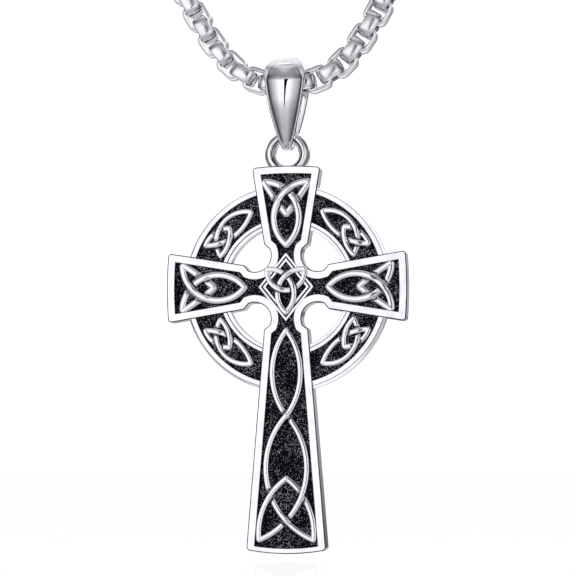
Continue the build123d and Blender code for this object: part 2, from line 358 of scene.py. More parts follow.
def turned(point: Point, angle: float) -> Point:
    """Turn a point about the origin, anticlockwise to the viewer, by degrees."""
    turn = radians(angle)
    return point[0] * cos(turn) - point[1] * sin(turn), point[0] * sin(turn) + point[1] * cos(turn)


class Outline:
    """A line drawn from point to point in the plane that faces the viewer, across and up."""

    def __init__(self, bm: BMesh, start: Point, depth: float = 0.0) -> None:
        """Start the line.

        Args:
            bm: The mesh that it is drawn in.
            start: Its first point.
            depth: How far behind the middle plane it lies.
        """
        self.bm = bm
        self.depth = depth
        self.first = bm.verts.new((start[0], depth, start[1]))
        self.last = self.first

    def line(self, *points: Point) -> None:
        """Go on straight to each point in turn.

        Args:
            *points: The points.
        """
        for across, up in points:
            vert = self.bm.verts.new((across, self.depth, up))
            self.bm.edges.new((self.last, vert))
            self.last = vert

    def arc(self, centre: Point, sweep: float, steps: int) -> None:
        """Go on round a centre.

        Args:
            centre: The arc's centre.
            sweep: Degrees, anticlockwise to the viewer.
            steps: How many edges the arc gets.
        """
        result = bmesh.ops.spin(
            self.bm,
            geom=[self.last],
            cent=(centre[0], self.depth, centre[1]),
            axis=VIEWER,
            angle=radians(sweep),
            steps=steps,
            use_merge=False,
        )
        self.last = next(item for item in result["geom_last"] if isinstance(item, BMVert))

    def close(self) -> BMFace:
        """Join the line's ends and fill it.

        Returns:
            The face inside the line.
        """
        if (self.last.co - self.first.co).length < MERGE:
            bmesh.ops.remove_doubles(self.bm, verts=[self.first, self.last], dist=MERGE)
        else:
            self.bm.edges.new((self.last, self.first))
        loop = [edge for edge in self.bm.edges if not edge.link_faces]
        return bmesh.ops.edgeloop_fill(self.bm, edges=loop)["faces"][0]


def raise_face(
    bm: BMesh,
    faces: Sequence[BMFace],
    height: float,
    keep: bool = False,
) -> dict[str, list[BMFace]]:
    """Extrude faces towards the viewer.

    Args:
        bm: The mesh.
        faces: The faces to raise.
        height: How far, in millimetres, and negative where they sink.
        keep: Whether the first faces stay too, as the form's back.

    Returns:
        The raised faces as "caps" and the new walls as "walls".
    """
    around = {face for item in faces for edge in item.edges for face in edge.link_faces}
    result = bmesh.ops.extrude_face_region(bm, geom=list(faces))["geom"]
    verts = [item for item in result if isinstance(item, BMVert)]
    caps = [item for item in result if isinstance(item, BMFace)]
    bmesh.ops.translate(bm, verts=verts, vec=(0.0, -height, 0.0))
    walls = {face for vert in verts for face in vert.link_faces} - set(caps) - around
    if not keep:
        bmesh.ops.delete(bm, geom=list(faces), context="FACES_ONLY")
    return {"caps": caps, "walls": list(walls)}


def paint(faces: Sequence[BMFace], finish: Face) -> None:
    """Give faces a finish."""
    for face in faces:
        face.material_index = finish.value


def is_crease(edge: BMEdge) -> bool:
    """Say whether two faces meet in an edge at a sharp angle."""
    return len(edge.link_faces) == 2 and edge.calc_face_angle(0.0) > CREASE


def soften(
    bm: BMesh,
    parts: Sequence[BMEdge | BMVert],
    radius: float,
    steps: int,
    finish: Optional[Face] = None,
    affect: str = "EDGES",
) -> None:
    """Round edges or corners off.

    Args:
        bm: The mesh.
        parts: The edges to round, or the corners of a flat section.
        radius: How far the rounding reaches, in millimetres.
        steps: How many faces it gets.
        finish: What the new faces wear, where it isn't their neighbours' finish.
        affect: "EDGES" or "VERTICES".
    """
    result = bmesh.ops.bevel(
        bm,
        geom=list(parts),
        offset=radius,
        offset_type="OFFSET",
        segments=steps,
        profile=0.5,
        affect=affect,
        clamp_overlap=True,
        material=-1,
    )
    if finish:
        paint(result["faces"], finish)


def inset(bm: BMesh, faces: Sequence[BMFace], width: float) -> list[BMFace]:
    """Draw a border of a width inside a flat region, and return the border's faces."""
    return bmesh.ops.inset_region(
        bm, faces=faces, thickness=width, use_even_offset=True, use_boundary=True
    )["faces"]


def sink(bm: BMesh, faces: Sequence[BMFace], depth: float) -> None:
    """Sink faces, and give them and their walls the ground's finish."""
    sunk = raise_face(bm, faces, -depth)
    paint(sunk["caps"] + sunk["walls"], Face.GROUND)


def finish_mesh(bm: BMesh, merge: bool = True) -> None:
    """Turn every face outwards.

    Args:
        bm: The mesh.
        merge: Whether to merge doubled points first.
    """
    if merge:
        bmesh.ops.remove_doubles(bm, verts=bm.verts, dist=MERGE)
    bmesh.ops.recalc_face_normals(bm, faces=bm.faces)


def add_form(target: BMesh, form: BMesh, place: Matrix) -> None:
    """Add a form to a piece.

    Args:
        target: The piece.
        form: The form, which is freed.
        place: Where the form goes.
    """
    bmesh.ops.transform(form, matrix=place, verts=form.verts)
    mesh = bpy.data.meshes.new("form")
    form.to_mesh(mesh)
    form.free()
    target.from_mesh(mesh)
    bpy.data.meshes.remove(mesh)


def make_piece(
    name: str,
    bm: BMesh,
    finishes: Sequence[Material],
    smooth_angle: float = ROUND_ANGLE,
) -> Object:
    """Turn a form in millimetres into a finished object at the origin.

    Args:
        name: The piece's name.
        bm: The form, in the row's frame. It is freed.
        finishes: The materials by material index.
        smooth_angle: Edges sharper than this stay sharp, in degrees.

    Returns:
        The object.
    """
    bmesh.ops.scale(bm, vec=(MM, MM, MM), verts=bm.verts)
    mesh = bpy.data.meshes.new(name)
    bm.to_mesh(mesh)
    bm.free()
    for polygon in mesh.polygons:
        polygon.use_smooth = True
    mesh.set_sharp_from_angle(angle=radians(smooth_angle))
    for finish in finishes:
        mesh.materials.append(finish)
    piece = bpy.data.objects.new(name, mesh)
    bpy.context.collection.objects.link(piece)
    LOG.info("%s: %d faces", name, len(mesh.polygons))
    return piece


def rolled(
    stations: int,
    around: int,
    place: Callable[[float, float], Vector],
    finish: Callable[[float, float], Face],
) -> BMesh:
    """Roll a grid into a closed ring whose section is closed too.

    Args:
        stations: Faces along the ring.
        around: Faces round its section.
        place: Gives the point for a share along the ring and a share round the section.
        finish: Gives the finish of the face whose middle is at those shares.

    Returns:
        The form.
    """
    bm = bmesh.new()
    bmesh.ops.create_grid(bm, x_segments=stations, y_segments=around, size=0.5)
    for face in bm.faces:
        middle = face.calc_center_median()
        face.material_index = finish((middle.x + 0.5) % 1.0, (middle.y + 0.5) % 1.0).value
    for vert in bm.verts:
        vert.co = place((vert.co.x + 0.5) % 1.0, (vert.co.y + 0.5) % 1.0)
    finish_mesh(bm)
    return bm


def spin_round(bm: BMesh, steps: int) -> None:
    """Spin a section all the way round the middle, about the line towards the viewer."""
    bmesh.ops.spin(
        bm,
        geom=bm.verts[:] + bm.edges[:],
        cent=(0.0, 0.0, 0.0),
        axis=VIEWER,
        angle=2 * pi,
        steps=steps,
        use_merge=True,
    )
    finish_mesh(bm)


def wire_ring(radius: float, wire: float, place: Matrix, steps: int, sides: int) -> BMesh:
    """Bend a round wire into a closed ring.

    Args:
        radius: From the centre to the middle of the wire.
        wire: The wire's diameter.
        place: Turns the ring from facing the viewer, and moves it.
        steps: Faces along the ring.
        sides: Faces round the wire.

    Returns:
        The form.
    """
    bm = bmesh.new()
    start = Matrix.Translation((radius, 0.0, 0.0))
    bmesh.ops.create_circle(bm, segments=sides, radius=wire / 2, matrix=start)
    spin_round(bm, steps)
    bmesh.ops.transform(bm, matrix=place, verts=bm.verts)
    return bm


# Knots


class Strand(NamedTuple):
    """A strand of a knot, an arc from one point through another to a third, in shares of its field."""

    start: Point
    through: Point
    end: Point


def with_twins(pairs: dict[tuple[str, str], Strand]) -> dict[str, Strand]:
    """Add each strand's mirror image, left to right.

    Args:
        pairs: One strand of each pair, by its own name and its twin's.

    Returns:
        Each strand with its twin after it.
    """
    strands = {}
    for (name, twin), strand in pairs.items():
        strands[name] = strand
        strands[twin] = Strand(*((-across, up) for across, up in strand))
    return strands


class Crossing(NamedTuple):
    """Where one strand runs over another, in shares of the knot's field."""

    upper: str
    place: Point


@dataclass(frozen=True)
class Bow:
    """An arc in the plane that faces the viewer."""

    centre: Point
    radius: float
    start_angle: float
    sweep: float

    @classmethod
    def through(cls, first: Point, middle: Point, last: Point) -> "Bow":
        """Find the arc from one point through another to a third.

        Args:
            first: Where it starts.
            middle: A point on it.
            last: Where it ends.

        Returns:
            The arc, its sweep in radians and positive anticlockwise to the viewer.
        """
        (ax, ay), (bx, by), (cx, cy) = first, middle, last
        twice = 2 * (ax * (by - cy) + bx * (cy - ay) + cx * (ay - by))
        a2, b2, c2 = ax * ax + ay * ay, bx * bx + by * by, cx * cx + cy * cy
        centre_x = (a2 * (by - cy) + b2 * (cy - ay) + c2 * (ay - by)) / twice
        centre_y = (a2 * (cx - bx) + b2 * (ax - cx) + c2 * (bx - ax)) / twice
        start = atan2(ay - centre_y, ax - centre_x)
        to_last = (atan2(cy - centre_y, cx - centre_x) - start) % (2 * pi)
        to_middle = (atan2(by - centre_y, bx - centre_x) - start) % (2 * pi)
        sweep = to_last if to_middle < to_last else to_last - 2 * pi
        return cls((centre_x, centre_y), hypot(ax - centre_x, ay - centre_y), start, sweep)

    def point(self, angle: float, across: float = 0.0) -> Point:
        """Return the point at an angle in radians, and across millimetres further out than the arc."""
        radius = self.radius + across
        return self.centre[0] + radius * cos(angle), self.centre[1] + radius * sin(angle)


@dataclass
class Knot:
    """A raised knot of round-topped strands that weave over and under each other.

    A strand's side that faces away from its arc's centre slopes out by slope. Strands differ in height
    by rank_rise, so that no two tops coincide. Within reach widths of a crossing the upper strand rises
    by over_rise, and the lower one sinks out of sight up to gap beside it, then ramps up over gap_ramp.
    """

    strands: dict[str, Strand]
    crossings: Sequence[Crossing]
    field_size: Point
    width: float
    floor: float
    height: float
    slope: float = 0.1
    groove: float = 0.0
    groove_depth: float = 0.06
    root: float = 0.1
    wall: float = 0.04
    flat_share: float = 0.6
    rank_rise: float = 0.006
    step_length: float = 0.14
    least_steps: int = 6
    dome_steps: int = 4
    end_steps: int = 8
    over_rise: float = 0.04
    gap: float = 0.1
    gap_ramp: float = 0.12
    reach: float = 1.3

    def placed(self, share: Point) -> Point:
        """Turn shares of the field into millimetres."""
        return share[0] * self.field_size[0], share[1] * self.field_size[1]

    def bow(self, name: str) -> Bow:
        """Return a strand's arc in millimetres."""
        strand = self.strands[name]
        return Bow.through(self.placed(strand.start), self.placed(strand.through), self.placed(strand.end))

    def half_section(self, spread: float) -> list[Point]:
        """Give one side of a strand's section from its crown down, across and up from the floor.

        Args:
            spread: How much further than half the width this side slopes out.

        Returns:
            The points.
        """
        half = self.width / 2
        flat = self.flat_share * half
        points = [(0.0, self.height)]
        if self.groove:
            points = [
                (0.0, self.height - self.groove_depth),
                (self.groove / 2, self.height - self.groove_depth / 3),
                (self.groove, self.height),
            ]
        for index in range(self.dome_steps + 1):
            angle = pi / 2 * index / self.dome_steps
            out = flat + (half + spread - flat) * sin(angle)
            points.append((out, self.wall + (self.height - self.wall) * cos(angle)))
        points.append((half + spread, -self.root))
        return points

    def lift(self, name: str, across: float, up: float) -> float:
        """Say how much a strand rises or sinks at a point because of the crossings near it.

        Args:
            name: The strand.
            across: The point's place across.
            up: The point's place up.

        Returns:
            The rise in millimetres, negative where the strand goes under another.
        """
        total = 0.0
        uppers: dict[Point, set[str]] = {}
        for crossing in self.crossings:
            uppers.setdefault(crossing.place, set()).add(crossing.upper)
        for share_place, names in uppers.items():
            place = self.placed(share_place)
            near = hypot(across - place[0], up - place[1]) / (self.reach * self.width)
            if near >= 1.0:
                continue
            if name in names:
                total += self.over_rise * (1 - near * near) ** 2
                continue
            for upper in names:
                bow = self.bow(upper)
                off = hypot(across - bow.centre[0], up - bow.centre[1]) - bow.radius
                edge = self.width / 2 + self.gap + (self.slope if off > 0 else 0.0)
                share = min(1.0, max(0.0, 1 - (abs(off) - edge) / self.gap_ramp))
                total = min(total, -share * (self.height + self.root))
        return total

    def strand(self, name: str) -> BMesh:
        """Model one strand with its round ends, facing the viewer.

        Args:
            name: The strand.

        Returns:
            The form, about the field's origin.
        """
        bow = self.bow(name)
        outer, inner = self.half_section(self.slope), self.half_section(0.0)
        profile = [(-across, up) for across, up in reversed(inner[1:])] + outer
        bm = bmesh.new()
        self.draw_section(bm, bow, bow.start_angle, profile)
        steps = max(self.least_steps, round(abs(bow.sweep) * bow.radius / self.step_length))
        bmesh.ops.spin(
            bm,
            geom=bm.verts[:] + bm.edges[:],
            cent=(bow.centre[0], 0.0, bow.centre[1]),
            axis=VIEWER,
            angle=bow.sweep,
            steps=steps,
            use_merge=False,
        )
        for angle, outward in ((bow.start_angle, -1.0), (bow.start_angle + bow.sweep, 1.0)):
            self.round_end(bm, bow, angle, outward if bow.sweep > 0 else -outward)
        finish_mesh(bm)
        rank = self.rank_rise * list(self.strands).index(name)
        for vert in bm.verts:
            share = min(1.0, max(0.0, -vert.co.y - self.floor + self.root) / self.root)
            vert.co.y -= share * (self.lift(name, vert.co.x, vert.co.z) + rank)
        return bm

    def draw_section(
        self,
        bm: BMesh,
        bow: Bow,
        angle: float,
        profile: Sequence[Point],
    ) -> list[BMVert]:
        """Draw a section across the strand at an angle of its arc.

        Args:
            bm: The mesh.
            bow: The strand's arc.
            angle: Where on the arc, in radians.
            profile: The section's points, across and up from the floor.

        Returns:
            The section's points in order.
        """
        verts = []
        for across, up in profile:
            x, z = bow.point(angle, across)
            verts.append(bm.verts.new((x, -self.floor - up, z)))
        for first, second in zip(verts, verts[1:]):
            bm.edges.new((first, second))
        return verts

    def round_end(self, bm: BMesh, bow: Bow, angle: float, turn: float) -> None:
        """Close an end of a strand with a half dome that narrows from its outer to its inner side.

        Args:
            bm: The mesh.
            bow: The strand's arc.
            angle: The end's place on the arc, in radians.
            turn: One where the dome goes round anticlockwise from the arc's outer side, else minus one.
        """
        verts = self.draw_section(bm, bow, angle, self.half_section(self.slope))
        edges = list({edge for vert in verts for edge in vert.link_edges})
        x, z = bow.point(angle)
        centre = Vector((x, 0.0, z))
        before = set(bm.verts) - set(verts)
        bmesh.ops.spin(
            bm,
            geom=verts + edges,
            cent=centre,
            axis=VIEWER,
            angle=turn * pi,
            steps=self.end_steps,
            use_merge=False,
        )
        half = self.width / 2
        flat = self.flat_share * half
        slim = (half - flat) / (half + self.slope - flat)
        outward = Vector((cos(angle), 0.0, sin(angle)))
        for vert in set(bm.verts) - before - set(verts):
            arm = Vector((vert.co.x - centre.x, 0.0, vert.co.z - centre.z))
            if arm.length > flat:
                share = (1 - arm.normalized().dot(outward)) / 2
                length = flat + (arm.length - flat) * (1 - share * (1 - slim))
                place = centre + arm.normalized() * length
                vert.co.x, vert.co.z = place.x, place.z

    def add_to(self, piece: BMesh, place: Matrix) -> None:
        """Add the whole knot to a piece."""
        for name in self.strands:
            add_form(piece, self.strand(name), place)


ARM_KNOT = with_twins({
    ("over", "under"): Strand((0.0, 0.3586), (-0.3459, 0.5931), (0.636, 0.876)),
    ("chevron_right", "chevron_left"): Strand((0.0, 0.6186), (0.3059, 0.7345), (0.636, 0.876)),
})
ARM_CROSSINGS = (
    Crossing("over", (0.0, 0.8103)),
    Crossing("over", (-0.2941, 0.7034)),
    Crossing("under", (0.2941, 0.7034)),
)
SHAFT_KNOT = with_twins({
    ("top_right", "top_left"): Strand((0.0, 0.1655), (-0.3505, 0.3196), (0.0, 0.4905)),
    ("to_right", "to_left"): Strand((0.0, 0.4905), (0.5072, 0.6867), (-0.6804, 0.9604)),
    ("apex_right", "apex_left"): Strand((0.0, 0.7294), (-0.433, 0.8006), (-0.6804, 0.9604)),
})
SHAFT_CROSSINGS = (
    Crossing("top_right", (0.0, 0.4905)),
    Crossing("to_right", (0.0, 0.4905)),
    Crossing("to_right", (0.0, 0.8829)),
    Crossing("to_left", (-0.4021, 0.7943)),
    Crossing("apex_left", (0.4021, 0.7943)),
)
RING_KNOT = {
    "outer": Strand((-0.3478, 0.7233), (-0.6443, 0.5858), (-0.6443, 0.3083)),
    "inner": Strand((-0.7866, 0.4111), (-0.5352, 0.4838), (-0.3478, 0.7233)),
    "hook": Strand((-0.6443, 0.3083), (-0.5652, 0.4332), (-0.5573, 0.5692)),
    "turn": Strand((-0.5573, 0.5692), (-0.6877, 0.5312), (-0.7866, 0.4111)),
}
RING_CROSSINGS = (
    Crossing("outer", (-0.664, 0.5415)),
    Crossing("inner", (-0.6798, 0.4269)),
    Crossing("hook", (-0.5652, 0.4704)),
)
TRINITY_KNOT = {
    "level": Strand((-0.6657, 0.5048), (0.0, -0.0962), (0.6657, 0.5048)),
    **with_twins({
        ("fall_right", "fall_left"): Strand((-0.6657, 0.5048), (0.2219, 0.0841), (0.0, -0.7332)),
    }),
}
TRINITY_CROSSINGS = (
    Crossing("level", (-0.2515, -0.024)),
    Crossing("fall_right", (0.2515, -0.024)),
    Crossing("fall_left", (0.0, 0.3245)),
)


# The cross


class Arm(NamedTuple):
    """One arm of the plate, measured outwards from the hub's centre."""

    turn: float
    shoulder: float
    shoulder_half: float
    end: float
    end_half: float
    end_bulge: float


ARMS = {
    "right": Arm(-90, 5.15, 2.7, 14.5, 4.25, 0.2),
    "top": Arm(0, 5.2, 2.7, 14.5, 4.2, 0.2),
    "left": Arm(90, 5.15, 2.7, 14.5, 4.25, 0.2),
    "shaft": Arm(180, 5.1, 2.7, 31.6, 4.85, 0.45),
}

# Heights in front of the whole cross, so that a ground with them stays black all over.
OUT_OF_REACH = (8.0, 9.0)


@dataclass
class CrossCasting:
    """The cross, cast in one with its ring, knots, lozenge and top eye, and oxidised in its recesses."""

    centre_z: float
    eye_wire: float
    eye_inner_radius: float
    eye_centre_height: float
    plate_thickness: float = 2.4
    rim_width: float = 0.95
    foot_rim_width: float = 0.65
    recess_depth: float = 0.5
    arm_corner: float = 0.45
    arm_corner_steps: int = 5
    end_steps: int = 6
    armpit_steps: int = 16
    edge_radius: float = 0.13
    rim_edge_radius: float = 0.06
    edge_steps: int = 2
    neck_reach: float = 4.6
    armpit_radius: float = 1.97
    armpit_place: float = 3.84
    ring_outer_radius: float = 12.65
    ring_inner_radius: float = 7.45
    ring_thickness: float = 1.7
    ring_lean_width: float = 0.3
    ring_lean_depth: float = 0.8
    ring_rim_width: float = 0.6
    ring_inner_rim_width: float = 0.91
    ring_inner_step_width: float = 0.45
    ring_inner_step_depth: float = 0.12
    ring_tuck_depth: float = 0.3
    ring_recess_depth: float = 0.4
    ring_edge_radius: float = 0.05
    ring_ground_reach: float = 0.06
    ring_ground_drop: float = 0.04
    ring_line_reach: float = 0.07
    ring_step_line_reach: float = 0.04
    ring_steps: int = 180
    lozenge_half_width: float = 3.38
    lozenge_half_height: float = 4.16
    lozenge_border: float = 0.7
    lozenge_rise: float = 0.1
    lozenge_recess_depth: float = 0.4
    lozenge_groove: float = 0.14
    lozenge_groove_depth: float = 0.08
    lozenge_edge_radius: float = 0.04
    arm_strand: float = 0.68
    shaft_strand: float = 0.7
    ring_strand: float = 0.56
    trinity_strand: float = 0.64
    arm_slope: float = 0.28
    shaft_slope: float = 0.1
    ring_slope: float = 0.12
    trinity_slope: float = 0.05
    strand_drop: float = 0.05
    trinity_rise: float = 0.15
    root: float = 0.1
    eye_line_place: float = 0.38
    eye_line_reach: float = 1 / 18

    def __post_init__(self) -> None:
        """Work out the depths from the plate's middle plane towards the viewer, and make the finishes."""
        self.plate_front = self.plate_thickness / 2
        self.plate_floor = self.plate_front - self.recess_depth
        self.ring_front = self.ring_thickness / 2
        self.ring_floor = self.ring_front - self.ring_recess_depth
        self.lozenge_front = self.plate_front + self.lozenge_rise
        self.lozenge_floor = self.lozenge_front - self.lozenge_recess_depth
        self.place = Matrix.Translation((0.0, 0.0, self.centre_z))
        self.bright = PolishedSilver("sterling_silver_cast_and_polished").make()
        self.ground = OxidisedSilver("sterling_silver_cast_and_oxidised", *OUT_OF_REACH).make()
        # The edge lines' dark grey is painted dark reflection and shade, not a finish of the metal.
        self.line = PolishedSilver(
            "sterling_silver_edge_painted_dark_reflection", "5A5C61", "45474C", roughness=0.2, worn_roughness=0.3
        ).make()

    def worn(
        self,
        place: str,
        floor: float,
        height: float,
        shares: Point = (0.02, 0.25),
        roughness: float = 0.14,
    ) -> Material:
        """Make the finish of a knot's strands, with bright crowns and dark flanks.

        Args:
            place: What the knot lies on.
            floor: The strands' foot, in front of the middle plane.
            height: The strands' height.
            shares: The shares of the height up to which they are black, and from which they are bright.
            roughness: The crowns' roughness.

        Returns:
            The material.
        """
        black_height, bright_height = (floor + share * height for share in shares)
        name = f"sterling_silver_strands_on_{place}"
        return OxidisedSilver(name, black_height, bright_height, roughness=roughness).make()

    def plate_outline(self, bm: BMesh) -> BMFace:
        """Draw and fill the plate's outline at its back: four flared arms round a hub with round armpits.

        Args:
            bm: The mesh.

        Returns:
            The face inside the outline.
        """
        past = self.neck_reach - self.armpit_place
        neck_half = self.armpit_place - sqrt(self.armpit_radius**2 - past**2)
        start_angle = degrees(atan2(past, self.armpit_place - neck_half))
        outline = None
        for arm in ARMS.values():
            neck = turned((neck_half, self.neck_reach), arm.turn)
            if outline is None:
                outline = Outline(bm, neck, self.plate_thickness / 2)
            outline.line(
                turned((arm.shoulder_half, arm.shoulder), arm.turn),
                turned((arm.end_half, arm.end), arm.turn),
            )
            bow = Bow.through(
                (arm.end_half, arm.end), (0.0, arm.end + arm.end_bulge), (-arm.end_half, arm.end)
            )
            outline.arc(turned(bow.centre, arm.turn), degrees(bow.sweep), self.end_steps)
            outline.line(
                turned((-arm.shoulder_half, arm.shoulder), arm.turn),
                turned((-neck_half, self.neck_reach), arm.turn),
            )
            armpit = turned((-self.armpit_place, self.armpit_place), arm.turn)
            outline.arc(armpit, -(90 + 2 * start_angle), self.armpit_steps)
        return outline.close()

    def plate(self) -> BMesh:
        """Model the plate with its rims and sunk ground.

        Returns:
            The form, about the hub's centre.
        """
        bm = bmesh.new()
        back = self.plate_outline(bm)
        front = raise_face(bm, [back], self.plate_thickness, keep=True)["caps"]
        bmesh.ops.recalc_face_normals(bm, faces=bm.faces)
        inset(bm, front, self.rim_width)
        foot = ARMS["shaft"]
        thinner = self.rim_width - self.foot_rim_width
        flare = (foot.end_half - foot.shoulder_half) / (foot.end - foot.shoulder)
        for vert in front[0].verts:
            if vert.co.z < -foot.end + 2 * self.rim_width:
                vert.co.x *= 1 + flare * thinner / foot.end_half
                vert.co.z -= thinner
        sink(bm, front, self.recess_depth)
        tips = {turned((side * arm.end_half, arm.end), arm.turn) for arm in ARMS.values() for side in (-1, 1)}
        upright = [
            edge
            for edge in bm.edges
            if abs(edge.verts[0].co.y - edge.verts[1].co.y) > self.plate_front
            and any(hypot(edge.verts[0].co.x - x, edge.verts[0].co.z - z) < MERGE for x, z in tips)
        ]
        soften(bm, upright, self.arm_corner, self.arm_corner_steps)
        # The outer edges' roundings are painted dark grey: a painted dark reflection and shade line round the
        # plate's faces.
        outer = [edge for edge in bm.edges if self.is_plate_edge(edge, Face.BRIGHT)]
        soften(bm, outer, self.edge_radius, self.edge_steps, Face.LINE)
        inner = [edge for edge in bm.edges if self.is_plate_edge(edge, Face.GROUND)]
        soften(bm, inner, self.rim_edge_radius, self.edge_steps)
        finish_mesh(bm, merge=False)
        return bm

    def is_plate_edge(self, edge: BMEdge, wall: Face) -> bool:
        """Say whether a wall meets the plate's front or back in an edge, at a sharp angle.

        Args:
            edge: The edge.
            wall: The finish of the walls that are looked for.

        Returns:
            True where it does.
        """
        if not is_crease(edge) or any(abs(abs(vert.co.y) - self.plate_front) > MERGE for vert in edge.verts):
            return False
        on_ground = any(face.material_index == Face.GROUND.value for face in edge.link_faces)
        return on_ground == (wall is Face.GROUND)

    def ring(self) -> BMesh:
        """Model the ring by spinning its section: rims, sunk ground and an outer wall that leans out.

        Returns:
            The form, about the hub's centre.
        """
        face_edge = self.ring_outer_radius - self.ring_lean_width
        step = self.ring_inner_radius + self.ring_inner_step_width
        step_front = self.ring_front - self.ring_inner_step_depth
        floor_start = self.ring_inner_radius + self.ring_inner_rim_width
        floor_end = face_edge - self.ring_rim_width
        profile = (
            (self.ring_inner_radius, -self.ring_front),
            (self.ring_inner_radius, step_front),
            (step, step_front),
            (step, self.ring_front),
            (floor_start, self.ring_front),
            (floor_start, self.ring_floor),
            (floor_end, self.ring_floor),
            (floor_end, self.ring_front),
            (face_edge, self.ring_front),
            (self.ring_outer_radius, self.ring_front - self.ring_lean_depth),
            (self.ring_outer_radius, -self.ring_front),
        )
        bm = bmesh.new()
        verts = [bm.verts.new((radius, -depth, 0.0)) for radius, depth in profile]
        bm.faces.new(verts)
        soften(bm, bm.verts[:], self.ring_edge_radius, self.edge_steps, affect="VERTICES")
        bmesh.ops.delete(bm, geom=bm.faces[:], context="FACES_ONLY")
        spin_round(bm, self.ring_steps)
        ground_start, ground_end = floor_start - self.ring_ground_reach, floor_end + self.ring_ground_reach
        for face in bm.faces:
            centre = face.calc_center_median()
            radius = hypot(centre.x, centre.z)
            on_lean = abs(radius - face_edge) < self.ring_line_reach
            on_step = abs(radius - step) < self.ring_step_line_reach
            below_rims = 0.0 < -centre.y < self.ring_front - self.ring_ground_drop
            if ground_start < radius < ground_end and below_rims:
                face.material_index = Face.GROUND.value
            elif centre.y < 0 and (on_lean or on_step):
                # Faces along the lean's edge and the inner step are painted dark grey: painted dark
                # reflection and shade lines at those edges.
                face.material_index = Face.LINE.value
        for vert in bm.verts:
            if -vert.co.y > self.ring_tuck_depth and self.under_arm(vert.co.x, vert.co.z):
                vert.co.y = -self.ring_tuck_depth
        return bm

    def under_arm(self, across: float, up: float) -> bool:
        """Say whether a point lies inside the middle of an arm's rim, where the plate hides the ring.

        Args:
            across: The point's place across.
            up: The point's place up.

        Returns:
            True where it does.
        """
        for arm in ARMS.values():
            u, v = turned((across, up), -arm.turn)
            share = (v - arm.shoulder) / (arm.end - arm.shoulder)
            half = arm.shoulder_half + share * (arm.end_half - arm.shoulder_half)
            if 0.0 < share < 1.0 and abs(u) < half - self.rim_width / 2:
                return True
        return False

    def lozenge(self) -> BMesh:
        """Model the raised lozenge with its grooved border and sunk ground.

        Returns:
            The form, about the hub's centre.
        """
        bm = bmesh.new()
        outline = Outline(bm, (0.0, self.lozenge_half_height), -(self.plate_floor - self.root))
        outline.line(
            (-self.lozenge_half_width, 0.0), (0.0, -self.lozenge_half_height), (self.lozenge_half_width, 0.0)
        )
        base = outline.close()
        front = raise_face(bm, [base], self.recess_depth + self.root + self.lozenge_rise, keep=True)["caps"]
        bmesh.ops.recalc_face_normals(bm, faces=bm.faces)
        flat = (self.lozenge_border - self.lozenge_groove) / 2
        bands = [inset(bm, front, width) for width in (flat, self.lozenge_groove, flat)]
        sink(bm, bands[1], self.lozenge_groove_depth)
        sink(bm, front, self.lozenge_recess_depth)
        crest = [
            edge
            for edge in bm.edges
            if is_crease(edge) and all(abs(vert.co.y + self.lozenge_front) < MERGE for vert in edge.verts)
        ]
        soften(bm, crest, self.lozenge_edge_radius, self.edge_steps)
        finish_mesh(bm, merge=False)
        return bm

    def arm_knots(self) -> BMesh:
        """Model the knots on the three arms and the shaft.

        Returns:
            The form, about the hub's centre.
        """
        bm = bmesh.new()
        for name, arm in ARMS.items():
            knot = Knot(
                ARM_KNOT,
                ARM_CROSSINGS,
                (arm.end_half, arm.end),
                self.arm_strand,
                self.plate_floor,
                self.recess_depth - self.strand_drop,
                slope=self.arm_slope,
            )
            if name == "shaft":
                knot.strands, knot.crossings = SHAFT_KNOT, SHAFT_CROSSINGS
                knot.width, knot.slope = self.shaft_strand, self.shaft_slope
            knot.add_to(bm, Matrix.Rotation(radians(arm.turn), 4, Vector(VIEWER)))
        return bm

    def ring_knots(self) -> BMesh:
        """Model the knot on one quarter of the ring, and mirror it to the others.

        Returns:
            The form, about the hub's centre.
        """
        knot = Knot(
            RING_KNOT,
            RING_CROSSINGS,
            (self.ring_outer_radius, self.ring_outer_radius),
            self.ring_strand,
            self.ring_floor,
            self.ring_recess_depth - self.strand_drop,
            slope=self.ring_slope,
            wall=0.12,
        )
        bm = bmesh.new()
        for across, up in ((1, 1), (-1, 1), (1, -1), (-1, -1)):
            knot.add_to(bm, Matrix.Diagonal((across, 1, up, 1)))
        finish_mesh(bm, merge=False)
        return bm

    def trinity_knot(self) -> BMesh:
        """Model the lozenge's knot, whose strands have a groove along their crowns.

        Returns:
            The form, about the hub's centre.
        """
        bm = bmesh.new()
        Knot(
            TRINITY_KNOT,
            TRINITY_CROSSINGS,
            (self.lozenge_half_width, self.lozenge_half_height),
            self.trinity_strand,
            self.lozenge_floor,
            self.lozenge_recess_depth + self.trinity_rise,
            slope=self.trinity_slope,
            groove=0.035,
            groove_depth=0.07,
            flat_share=0.75,
            wall=0.3,
            step_length=0.07,
            gap=0.01,
            gap_ramp=0.08,
        ).add_to(bm, Matrix.Identity(4))
        return bm

    def eye(self) -> BMesh:
        """Model the eye, with a dark line round its front near the hole.

        Returns:
            The form, about the hub's centre.
        """
        middle_radius = self.eye_inner_radius + self.eye_wire / 2
        place = Matrix.Translation((0.0, 0.0, self.eye_centre_height))
        bm = wire_ring(middle_radius, self.eye_wire, place, steps=64, sides=28)
        line_radius = self.eye_inner_radius + self.eye_line_place * self.eye_wire
        for face in bm.faces:
            centre = face.calc_center_median()
            radius = hypot(centre.x, centre.z - self.eye_centre_height)
            # A thin band of faces round the front near the hole takes the black ground finish, painted on:
            # the wire is not grooved there.
            if centre.y < 0 and abs(radius - line_radius) < self.eye_line_reach * self.eye_wire:
                face.material_index = Face.GROUND.value
        return bm

